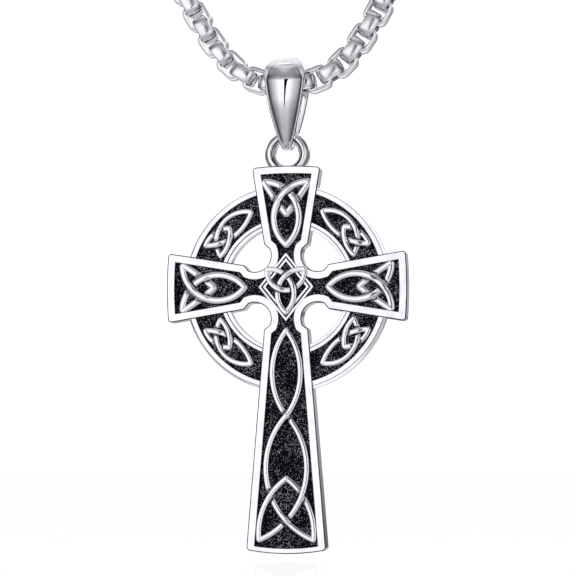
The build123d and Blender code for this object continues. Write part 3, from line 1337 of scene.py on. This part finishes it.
    def build(self) -> None:
        """Build and place every piece of the casting."""
        cast = (self.bright, self.ground, self.line)
        on_arms = self.worn("arms", self.plate_floor, self.recess_depth)
        on_ring = self.worn("ring", self.ring_floor, self.ring_recess_depth)
        trinity_height = self.lozenge_recess_depth + self.trinity_rise
        on_lozenge = self.worn(
            "lozenge", self.lozenge_floor, trinity_height, shares=(0.12, 0.42), roughness=0.12
        )
        pieces = {
            "cross_plate": (self.plate(), cast),
            "cross_ring": (self.ring(), cast),
            "cross_lozenge": (self.lozenge(), cast[:2]),
            "cross_arm_knots": (self.arm_knots(), (on_arms,)),
            "cross_ring_knots": (self.ring_knots(), (on_ring,)),
            "cross_trinity_knot": (self.trinity_knot(), (on_lozenge,)),
            "cross_eye": (self.eye(), cast[:2]),
        }
        for name, (form, finishes) in pieces.items():
            bmesh.ops.transform(form, matrix=self.place, verts=form.verts)
            piece = make_piece(name, form, finishes, FLAT_ANGLE if len(finishes) > 1 else ROUND_ANGLE)
            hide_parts("cross")
            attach(piece, "cross")


# The chain, the bail and what joins them


class Stop(NamedTuple):
    """The centre and slope of one link in the plane of the chain."""

    x: float
    z: float
    slope: float


@dataclass
class BoxChain:
    """Rounded box chain: domed bands that stand in and across the chain's plane by turns."""

    band: float = 1.8
    end_wall: float = 0.6
    side_wall: float = 0.46
    corner: float = 0.95
    corner_steps: int = 4
    dome: float = 0.3
    dome_steps: int = 2
    gap: float = 0.27
    play: float = 0.41
    side_clearance: float = 0.19
    length: float = 457.0
    bail_slopes: tuple[float, ...] = (0.0, 9.0, 20.0, 32.0, 44.0, 51.5, 56.0, 59.0)
    run_slope: float = 61.0
    clasp_room: float = 12.0
    clasp_height: float = 5.0
    clasp_thickness: float = 1.6
    clasp_wall: float = 0.7
    clasp_hole_radius: float = 0.85
    clasp_hole_steps: int = 24
    clasp_end_steps: int = 16
    clasp_edge_radius: float = 0.2
    clasp_edge_steps: int = 3
    end_ring_wire: float = 0.6
    end_ring_inner_radius: float = 1.4
    end_ring_clearance: float = 0.16

    def __post_init__(self) -> None:
        """Work out the link, the route and the place of the clasp."""
        self.width = self.band + 2 * (self.side_clearance + self.side_wall)
        self.opening = 2 * self.end_wall + 2 * self.gap + self.play
        self.link_length = self.opening + 2 * self.end_wall
        self.pitch = self.opening - self.gap
        self.half = self.half_route()
        last = self.half[-1]
        reach = self.link_length / 2 - self.end_wall + self.ring_seat(self.band / 2)
        self.ring_x = last.x + reach * cos(radians(last.slope))
        rise = last.z + reach * sin(radians(last.slope))
        self.clasp_half = self.ring_x - self.ring_seat(self.clasp_thickness / 2) + self.clasp_wall
        self.clasp_z = self.clasp_height / 2
        self.bottom_z = self.clasp_z - rise
        self.finish = PolishedSilver(
            "sterling_silver_stamped_and_polished", roughness=0.16, worn_roughness=0.24, wear_size=1.1
        ).make()

    def ring_seat(self, half_bar: float) -> float:
        """Return how far an end ring's centre lies past the inner face of a bar 2 x half_bar wide."""
        return sqrt(self.end_ring_inner_radius**2 - half_bar**2) - self.end_ring_clearance

    def half_route(self) -> list[Stop]:
        """Lay out the links of the right half, from the one in the bail up to the one by the clasp.

        Returns:
            Their places and slopes, with the first at the origin.
        """
        slopes = list(self.bail_slopes)
        bend_x = self.pitch * (sum(cos(radians(slope)) for slope in slopes) - 0.5)
        run = radians(self.run_slope)
        widening = (pi - run) / sin(run)
        bend_length = self.pitch * (len(slopes) - 0.5)
        run_length = (self.length / 2 - bend_length - bend_x * widening) / (1 + cos(run) * widening)
        run_count = round(run_length / self.pitch)
        top_radius = (bend_x + run_count * self.pitch * cos(run)) / sin(run)
        step = degrees(2 * asin(self.pitch / 2 / top_radius))
        room = self.clasp_room / 2 + 2 * self.end_ring_inner_radius
        spare = degrees(asin(room / top_radius))
        arc_count = round((180 - self.run_slope - spare) / step)
        arc_count += (len(slopes) + run_count + arc_count + 1) % 2
        slopes += [self.run_slope] * run_count
        slopes += [self.run_slope + step * (index + 0.5) for index in range(arc_count)]
        stops = [Stop(0.0, 0.0, slopes[0])]
        for slope in slopes[1:]:
            last = stops[-1]
            x = last.x + self.pitch / 2 * (cos(radians(last.slope)) + cos(radians(slope)))
            z = last.z + self.pitch / 2 * (sin(radians(last.slope)) + sin(radians(slope)))
            stops.append(Stop(x, z, slope))
        return stops

    def link(self) -> BMesh:
        """Model one link about its centre: length along X, width along Y, band along Z.

        Returns:
            The form.
        """
        bm = bmesh.new()
        bmesh.ops.create_cube(bm, size=1.0)
        bmesh.ops.scale(bm, vec=(self.link_length, self.width, self.band), verts=bm.verts)
        ends = [face for face in bm.faces if abs(face.normal.z) > 0.9]
        bmesh.ops.inset_individual(bm, faces=ends, thickness=self.side_wall, use_even_offset=True)
        scale = self.opening / (self.link_length - 2 * self.side_wall)
        inner = {vert for face in ends for vert in face.verts}
        bmesh.ops.scale(bm, vec=(scale, 1.0, 1.0), verts=list(inner))
        rims = list({edge for face in ends for edge in face.edges})
        bmesh.ops.delete(bm, geom=ends, context="FACES_ONLY")
        bmesh.ops.bridge_loops(bm, edges=rims)
        corners = [
            edge
            for edge in bm.edges
            if all(abs(abs(vert.co.x) - self.link_length / 2) < MERGE for vert in edge.verts)
            and abs(edge.verts[0].co.z - edge.verts[1].co.z) > MERGE
        ]
        soften(bm, corners, self.corner, self.corner_steps)
        rounds = [edge for edge in bm.edges if is_crease(edge) and all(map(self.on_outer_rim, edge.verts))]
        soften(bm, rounds, self.dome, self.dome_steps)
        finish_mesh(bm)
        return bm

    def on_outer_rim(self, vert: BMVert) -> bool:
        """Say whether a link's point lies on a rim of its band, further out than the opening.

        Args:
            vert: The point.

        Returns:
            True where it does.
        """
        x, y, z = (abs(value) for value in vert.co)
        past_opening = x > self.opening / 2 + MERGE or y > self.width / 2 - self.side_wall + MERGE
        return past_opening and abs(z - self.band / 2) < MERGE

    def link_place(self, stop: Stop, upright: bool) -> Matrix:
        """Work out where a link goes.

        Args:
            stop: The link's centre and slope.
            upright: Whether it stands in the chain's plane, or else square to it.

        Returns:
            The link's place in the frame.
        """
        slope = radians(stop.slope)
        along = Vector((cos(slope), 0.0, sin(slope)))
        away = Vector((-sin(slope), 0.0, cos(slope)))
        normal = Vector(VIEWER) if upright else away
        across = normal.cross(along)
        frame = Matrix((along, across, normal)).transposed().to_4x4()
        return Matrix.Translation((stop.x, 0.0, self.bottom_z + stop.z)) @ frame

    def chain(self) -> BMesh:
        """String the links along both halves of the route.

        Returns:
            The form, at its place in the frame.
        """
        link = self.link()
        mesh = bpy.data.meshes.new("link")
        link.to_mesh(mesh)
        link.free()
        bm = bmesh.new()
        for index, stop in enumerate(self.half):
            upright = index % 2 == 0
            twins = [stop] if index == 0 else [stop, Stop(-stop.x, stop.z, -stop.slope)]
            for twin in twins:
                before = len(bm.verts)
                bm.from_mesh(mesh)
                bm.verts.ensure_lookup_table()
                bmesh.ops.transform(bm, matrix=self.link_place(twin, upright), verts=bm.verts[before:])
        bpy.data.meshes.remove(mesh)
        return bm

    def clasp(self) -> BMesh:
        """Model the clasp, a plain rounded bar with a hole for each end ring.

        Returns:
            The form, at its place in the frame.
        """
        radius = self.clasp_height / 2
        straight = self.clasp_half - radius
        back = self.clasp_thickness / 2
        hole_place = self.clasp_half - self.clasp_wall - self.clasp_hole_radius
        bm = bmesh.new()
        outline = Outline(bm, (straight, -radius), back)
        outline.arc((straight, 0.0), 180, self.clasp_end_steps)
        outline.line((-straight, radius))
        outline.arc((-straight, 0.0), 180, self.clasp_end_steps)
        bm.edges.new((outline.last, outline.first))
        for side in (-1, 1):
            place = Matrix.Translation((side * hole_place, back, 0.0)) @ Matrix.Rotation(pi / 2, 4, "X")
            bmesh.ops.create_circle(
                bm, segments=self.clasp_hole_steps, radius=self.clasp_hole_radius, matrix=place
            )
        bmesh.ops.triangle_fill(bm, use_beauty=True, use_dissolve=False, edges=bm.edges[:])
        raise_face(bm, bm.faces[:], self.clasp_thickness, keep=True)
        bmesh.ops.recalc_face_normals(bm, faces=bm.faces)
        edges = [edge for edge in bm.edges if is_crease(edge)]
        soften(bm, edges, self.clasp_edge_radius, self.clasp_edge_steps)
        finish_mesh(bm, merge=False)
        bmesh.ops.translate(bm, verts=bm.verts, vec=(0.0, 0.0, self.clasp_z))
        return bm

    def build(self) -> None:
        """Build and place the chain, its end rings and the clasp."""
        pieces = {"chain": self.chain(), "clasp": self.clasp()}
        tilt = radians((180 - self.half[-1].slope) / 2)
        middle_radius = self.end_ring_inner_radius + self.end_ring_wire / 2
        for side, name in ((-1, "end_ring_left"), (1, "end_ring_right")):
            place = (
                Matrix.Translation((side * self.ring_x, 0.0, self.clasp_z))
                @ Matrix.Rotation(side * tilt, 4, "Y")
                @ Matrix.Rotation(pi / 2, 4, "X")
            )
            pieces[name] = wire_ring(middle_radius, self.end_ring_wire, place, steps=32, sides=12)
        for name, form in pieces.items():
            piece = make_piece(f"box_{name}" if name == "chain" else f"plain_{name}", form, (self.finish,))
            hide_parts(name)
            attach(piece, "necklace")


@dataclass
class Bail:
    """The bail: a domed band that narrows towards its foot, bent round the chain and the eye.

    The loop, from nought at its top to a half at its foot, is round up to crown_end, bowed up to run_end
    and round again. The dome's height is read at dome_place of the wall. It counts as low below
    dome_low of its full height, and as gone below dome_gone. The base that it stands on climbs from
    edge_share of the wall to crown_share, near the crown and near the foot.
    """

    chain_z: float
    eye_wire_z: float
    link_width: float
    eye_wire: float
    crown_wall: float = 1.45
    foot_wall: float = 0.65
    half_width: float = 2.5
    crown_height: float = 2.2
    tip_half_width: float = 0.66
    side_bulge: float = 0.25
    chain_clearance: float = 0.4
    eye_clearance: float = 0.34
    eye_lift: float = 0.25
    outline_margin: float = 0.15
    edge_share: float = 0.42
    crown_share: float = 0.93
    rim: float = 0.22
    crown_strip: float = 0.75
    crown_round: float = 2.1
    foot_strip: float = 0.5
    foot_round: float = 0.75
    front_lean: float = 0.15
    edge_round: float = 0.08
    crown_end: float = 0.2
    run_end: float = 0.38
    dome_place: float = 0.8
    dome_power: float = 1.7
    dome_fullness: float = 0.7
    dome_gone: float = 0.06
    dome_low: float = 0.3
    least_dome: float = 0.05
    least_square: float = 0.01
    rim_share: float = 0.22
    full_width_drop: float = 1.0
    crown_climb_drop: float = 0.3
    crown_climb_share: float = 0.6
    foot_climb_rise: float = 0.4
    foot_climb: float = 0.6
    stations: int = 160
    dome_steps: int = 9
    smooth_angle: float = 50.0

    def __post_init__(self) -> None:
        """Work out the loop's radii and the outline's heights."""
        self.crown_radius = self.link_width / 2 + self.chain_clearance
        self.foot_radius = self.eye_wire / 2 + self.eye_clearance + self.eye_lift
        self.foot_z = self.eye_wire_z + self.eye_lift
        self.lowest = self.foot_z - self.foot_radius - self.foot_wall
        self.tip_z = self.lowest - self.outline_margin + self.tip_half_width
        self.highest = self.chain_z + self.crown_radius + self.crown_wall
        self.crown_z = self.highest + self.outline_margin - self.crown_height
        middle = (self.half_width + self.tip_half_width) / 2 + self.side_bulge
        self.side = Bow.through(
            (self.half_width, self.crown_z),
            (middle, (self.crown_z + self.tip_z) / 2),
            (self.tip_half_width, self.tip_z),
        )

    def half_width_at(self, z: float) -> float:
        """Work out half the band's width at a height, which never closes to a point.

        Args:
            z: The height.

        Returns:
            Half the width.
        """
        if z >= self.crown_z:
            share = (z - self.crown_z) / self.crown_height
            return self.half_width * sqrt(max(self.least_square, 1 - share * share))
        if z <= self.tip_z:
            return sqrt(max(self.least_square, self.tip_half_width**2 - (z - self.tip_z) ** 2))
        across = sqrt(self.side.radius**2 - (z - self.side.centre[1]) ** 2)
        return self.side.centre[0] + (across if self.side.centre[0] < self.half_width else -across)

    def loop_point(self, share: float, wall: float) -> Vector:
        """Find a point of the loop seen from the side: round crown, bowed runs and round foot.

        Args:
            share: From nought at the top, by the back, down round the foot and up the front.
            wall: Nought for the inner face and one for the outer.

        Returns:
            Its place in the plane across the chain.
        """
        crown = self.crown_radius + wall * self.crown_wall
        foot = self.foot_radius + wall * self.foot_wall
        drop = self.chain_z - self.foot_z
        bow = (drop**2 + crown**2 - foot**2) / (2 * (crown - foot))
        turn = pi / 2 + atan2(drop, bow - crown)
        mirrored = share > 0.5
        half = 1.0 - share if mirrored else share
        if half < self.crown_end:
            angle = pi / 2 * half / self.crown_end
            across, up = crown * sin(angle), self.chain_z + crown * cos(angle)
        elif half < self.run_end:
            angle = pi / 2 + (turn - pi / 2) * (half - self.crown_end) / (self.run_end - self.crown_end)
            across, up = crown - bow + bow * sin(angle), self.chain_z + bow * cos(angle)
        else:
            angle = turn + (pi - turn) * (half - self.run_end) / (0.5 - self.run_end)
            across, up = foot * sin(angle), self.foot_z + foot * cos(angle)
        return Vector((0.0, -across if mirrored else across, up))

    def dome_end(self, z: float) -> float:
        """Work out how far the dome has narrowed and sunk near its ends.

        Args:
            z: The height.

        Returns:
            The share of its full width and rise that it has there.
        """
        over = max(0.0, z - (self.highest - self.crown_strip - self.crown_round)) / self.crown_round
        under = max(0.0, self.lowest + self.foot_strip + self.foot_round - z) / self.foot_round
        return sqrt(max(self.least_dome**2, 1 - over * over - under * under))

    def seen_height(self, place: Vector) -> float:
        """Return a point's height, with the front counted higher so that the band narrows there early."""
        return place.z + self.front_lean * max(0.0, -place.y)

    def section(self, inner: Vector, outer: Vector) -> list[Point]:
        """Draw the band's section: a domed front between two thin rims, rounded edges and a flat inside.

        Args:
            inner: This station's point on the inner face.
            outer: Its point on the outer face.

        Returns:
            The points, across and as shares of the thickness, once round from the dome's middle.
        """
        z = self.seen_height(inner.lerp(outer, self.dome_place))
        to_crown = (z - self.crown_z + self.crown_climb_drop) / (self.crown_climb_share * self.crown_height)
        to_foot = (self.lowest + self.foot_strip + self.foot_climb_rise - z) / self.foot_climb
        climb = min(1.0, max(0.0, to_crown, to_foot))
        base = self.edge_share + (self.crown_share - self.edge_share) * climb * climb * (3 - 2 * climb)
        half = self.half_width_at(self.seen_height(inner.lerp(outer, base)))
        end = self.dome_end(z)
        widest = self.half_width if z > self.crown_z - self.full_width_drop else half
        rim = min(self.rim, self.rim_share * half)
        border = min(half - rim, (widest - rim) * end)
        peak = (1 - base) * end if end > self.dome_gone else 0.0
        right = []
        for index in range(self.dome_steps + 1):
            share = sin(pi / 2 * index / self.dome_steps)
            rise = max(0.0, 1 - share**self.dome_power) ** self.dome_fullness
            right.append((border * share, base + peak * rise))
        rounding = self.edge_round / (outer - inner).length
        right += [
            (half - self.edge_round, base),
            (half - ROUND_MIDDLE * self.edge_round, base - ROUND_MIDDLE * rounding),
            (half, base - rounding),
            (half, rounding),
            (half - self.edge_round, 0.0),
            (0.5 * half, 0.0),
        ]
        return right + [(0.0, 0.0)] + [(-across, up) for across, up in reversed(right[1:])]

    def build(self) -> None:
        """Build and place the bail."""
        rings = []
        ends = []
        by_chain = []
        for index in range(self.stations):
            inner = self.loop_point(index / self.stations, 0.0)
            outer = self.loop_point(index / self.stations, 1.0)
            points = self.section(inner, outer)
            rings.append([inner.lerp(outer, up) + Vector((across, 0.0, 0.0)) for across, up in points])
            ends.append(self.dome_end(self.seen_height(inner.lerp(outer, self.dome_place))))
            by_chain.append(inner.z > self.chain_z)
        around = len(rings[0])

        def place(along: float, share: float) -> Vector:
            """Place a point of the grid."""
            return rings[round(along * self.stations) % self.stations][round(share * around) % around]

        def finish_at(along: float, share: float) -> Face:
            """Paint the dome's border, the rims' outer edges and the whole dome where it is low in dark grey,
            and give the rims the satin. The dark grey is painted dark reflection and shade.

            Args:
                along: The share along the loop.
                share: The share round the section.

            Returns:
                The finish of the face there.
            """
            station, part = int(along * self.stations), int(share * around)
            past_dome = min(part, around - 1 - part) - self.dome_steps
            end = ends[station]
            domed = end > self.dome_gone
            if past_dome in (1, 2) and (domed or by_chain[station]):
                return Face.LINE
            if domed and (past_dome in (-2, -1) or (past_dome < 0 and end < self.dome_low)):
                return Face.LINE
            if past_dome == 0 or (past_dome < 0 and not domed):
                return Face.GROUND
            return Face.BRIGHT

        form = rolled(self.stations, around, place, finish_at)
        bright = PolishedSilver("sterling_silver_bail_polished", roughness=0.03, worn_roughness=0.06).make()
        satin = PolishedSilver(
            "sterling_silver_bail_rim_satin", "FFFFFF", "F6F6F8", roughness=0.42, worn_roughness=0.5
        ).make()
        # The bail's dark grey lines and low dome ends are painted dark reflection and shade.
        line = PolishedSilver(
            "sterling_silver_bail_edge_painted_dark_reflection", "8A8C91", "7A7C81", roughness=0.2, worn_roughness=0.3
        ).make()
        piece = make_piece("tapered_bail", form, (bright, satin, line), self.smooth_angle)
        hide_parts("bail")
        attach(piece, "bail")


# The studio

# Greys of the surroundings by place along one axis of a direction, from minus one to one.
FRONT_BY_HEIGHT = (
    (-1.0, 0.45), (-0.65, 0.42), (-0.35, 0.5), (-0.2, 0.74), (-0.1, 1.0), (0.22, 1.0),
    (0.38, 0.45), (0.6, 0.25), (0.76, 0.3), (0.9, 0.65), (0.96, 0.6), (0.995, 0.3), (1.0, 0.3),
)
FRONT_BY_SIDE = (
    (-1.0, 0.25), (-0.8, 0.5), (-0.5, 1.0), (0.3, 1.0), (0.6, 0.55), (1.0, 0.25),
)
BACK_BY_HEIGHT = (
    (-1.0, 0.95), (-0.6, 0.95), (-0.45, 0.5), (-0.12, 0.5), (-0.06, 0.12), (-0.03, 0.12),
    (0.05, 0.4), (0.18, 0.4), (0.3, 0.95), (0.98, 1.0), (1.0, 0.4),
)
SIDES_BY_DEPTH = (
    (-1.0, 1.0), (-0.6, 1.0), (-0.4, 0.85), (-0.2, 0.35), (-0.05, 0.15), (0.1, 0.25), (0.3, 0.95), (1.0, 1.0),
)


@dataclass
class Studio:
    """White surroundings with grey flags at the sides, a white glossy floor and the camera."""

    target: Vector
    floor_z: float
    azimuth: float = 9.5
    elevation: float = -4.0
    distance: float = 300.0
    lens: float = 155.0
    floor_size: float = 3000.0
    floor_gloss: float = 0.14
    floor_glow: float = 1.1
    floor_roughness: float = 0.03
    strength: float = 1.12
    blue: float = 1.02
    front_end: float = 0.1
    sides_end: float = 0.7
    sides_top: float = 0.9
    stand_left: float = -0.07
    stand_low: float = -0.26
    stand_high: float = 0.33
    stand_foot_width: float = 0.06
    stand_head_width: float = 0.3

    def build_world(self) -> None:
        """Build the surroundings that the metal reflects. To the camera they are plain white.

        A wide light stands in front, with a dimmer one overhead, and a black stand before it widens
        upwards. The sides are dark, but open above and below. Behind, the room is light, with a
        dark line at the table's level.
        """
        world = bpy.data.worlds.new("white_studio")
        bpy.context.scene.world = world
        world.use_nodes = True
        tree = world.node_tree
        direction = add_node(tree, "ShaderNodeTexCoord").outputs["Generated"]
        x, y, z = add_node(tree, "ShaderNodeSeparateXYZ", {"Vector": direction}).outputs
        lights, falloff = self.band(tree, z, FRONT_BY_HEIGHT), self.band(tree, x, FRONT_BY_SIDE)
        front = mix(tree, 1.0, lights, falloff, "MULTIPLY")
        behind = remap(tree, y, (-self.front_end, self.front_end))
        room = mix(tree, behind, front, self.band(tree, z, BACK_BY_HEIGHT))
        steep = remap(tree, calculate(tree, "ABSOLUTE", z), (self.sides_end, self.sides_top))
        sides = mix(tree, steep, self.band(tree, y, SIDES_BY_DEPTH), WHITE)
        room = mix(tree, 1.0, room, sides, "MULTIPLY")
        widths = (self.stand_left + self.stand_foot_width, self.stand_left + self.stand_head_width)
        stand = calculate(tree, "LESS_THAN", x, remap(tree, z, (self.stand_low, self.stand_high), widths))
        for operation, value, limit in (
            ("GREATER_THAN", x, self.stand_left),
            ("GREATER_THAN", z, self.stand_low),
            ("LESS_THAN", z, self.stand_high),
            ("LESS_THAN", y, 0.0),
        ):
            stand = calculate(tree, "MULTIPLY", stand, calculate(tree, operation, value, limit))
        room = mix(tree, stand, room, BLACK)
        camera_ray = add_node(tree, "ShaderNodeLightPath").outputs["Is Camera Ray"]
        shader = tree.nodes["Background"]
        tree.links.new(mix(tree, camera_ray, room, WHITE), shader.inputs["Color"])
        shader.inputs["Strength"].default_value = self.strength

    def band(self, tree: NodeTree, place: NodeSocket, stops: Sequence[Point]) -> NodeSocket:
        """Turn a place along an axis to a grey.

        Args:
            tree: The world's node tree.
            place: The place, from minus one to one.
            stops: Places and their greys, in rising order.

        Returns:
            The grey.
        """
        ramp = add_node(tree, "ShaderNodeValToRGB", {"Fac": remap(tree, place, (-1.0, 1.0))})
        set_ramp(ramp, [((where + 1) / 2, (grey, grey, self.blue * grey, 1.0)) for where, grey in stops])
        return ramp.outputs["Color"]

    def build_floor(self) -> None:
        """Build the white floor just under the cross, with a faint gloss."""
        bm = bmesh.new()
        bmesh.ops.create_grid(bm, x_segments=2, y_segments=2, size=self.floor_size / 2)
        bmesh.ops.translate(bm, verts=bm.verts, vec=(0.0, 0.0, self.floor_z))
        material = bpy.data.materials.new("white_acrylic_sheet")
        material.use_nodes = True
        tree = material.node_tree
        tree.nodes.remove(tree.nodes["Principled BSDF"])
        glow = add_node(tree, "ShaderNodeEmission", {"Color": WHITE, "Strength": self.floor_glow})
        gloss = add_node(tree, "ShaderNodeBsdfGlossy", {"Color": WHITE, "Roughness": self.floor_roughness})
        shares = {0: self.floor_gloss, 1: glow.outputs["Emission"], 2: gloss.outputs["BSDF"]}
        mixed = add_node(tree, "ShaderNodeMixShader", shares)
        tree.links.new(mixed.outputs["Shader"], tree.nodes["Material Output"].inputs["Surface"])
        floor = make_piece("studio_floor", bm, (material,))
        floor.visible_glossy = False
        floor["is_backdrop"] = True

    def build_camera(self) -> None:
        """Build the camera at the photograph's angle."""
        azimuth, elevation = radians(self.azimuth), radians(self.elevation)
        back = Vector((sin(azimuth) * cos(elevation), -cos(azimuth) * cos(elevation), sin(elevation)))
        camera = bpy.data.objects.new("camera", bpy.data.cameras.new("camera"))
        bpy.context.collection.objects.link(camera)
        camera.location = (self.target + self.distance * back) * MM
        camera.rotation_euler = (-back).to_track_quat("-Z", "Y").to_euler()
        camera.data.lens = self.lens
        camera.data.clip_start = 0.01
        camera.data.clip_end = 10.0
        bpy.context.scene.camera = camera

    def build(self) -> None:
        """Build everything round the pendant."""
        self.build_world()
        self.build_floor()
        self.build_camera()
        view = bpy.context.scene.view_settings
        view.view_transform = "Standard"
        view.look = "None"
        view.exposure = 0.0
        view.gamma = 1.0


def corners(box: Sequence[Sequence[float]]) -> list[list[float]]:
    """Turn a box's corners into plain lists."""
    return [[float(value) for value in corner] for corner in box]


def main() -> None:
    """Load the frame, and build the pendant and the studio."""
    logging.basicConfig(level=logging.INFO, format="%(message)s")
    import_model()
    cad_box = corners(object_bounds())
    bail_drop = 6.35
    eye_wire, eye_inner_radius, eye_sink = 1.43, 1.37, 1.25
    floor_gap = 0.14
    chain = BoxChain()
    chain.build()
    eye_wire_z = chain.bottom_z - bail_drop
    Bail(chain.bottom_z, eye_wire_z, chain.width, eye_wire).build()
    top, foot = ARMS["top"], ARMS["shaft"]
    eye_height = top.end + top.end_bulge - eye_sink + eye_inner_radius + eye_wire
    cross_z = eye_wire_z - eye_height - eye_inner_radius - eye_wire / 2
    CrossCasting(cross_z, eye_wire, eye_inner_radius, eye_height).build()
    aim = Vector((0.05, 0.0, cross_z - 0.06))
    Studio(aim, cross_z - foot.end - foot.end_bulge - floor_gap).build()
    {"cad": cad_box, "visual": corners(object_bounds())}


if __name__ == "__main__":
    main()
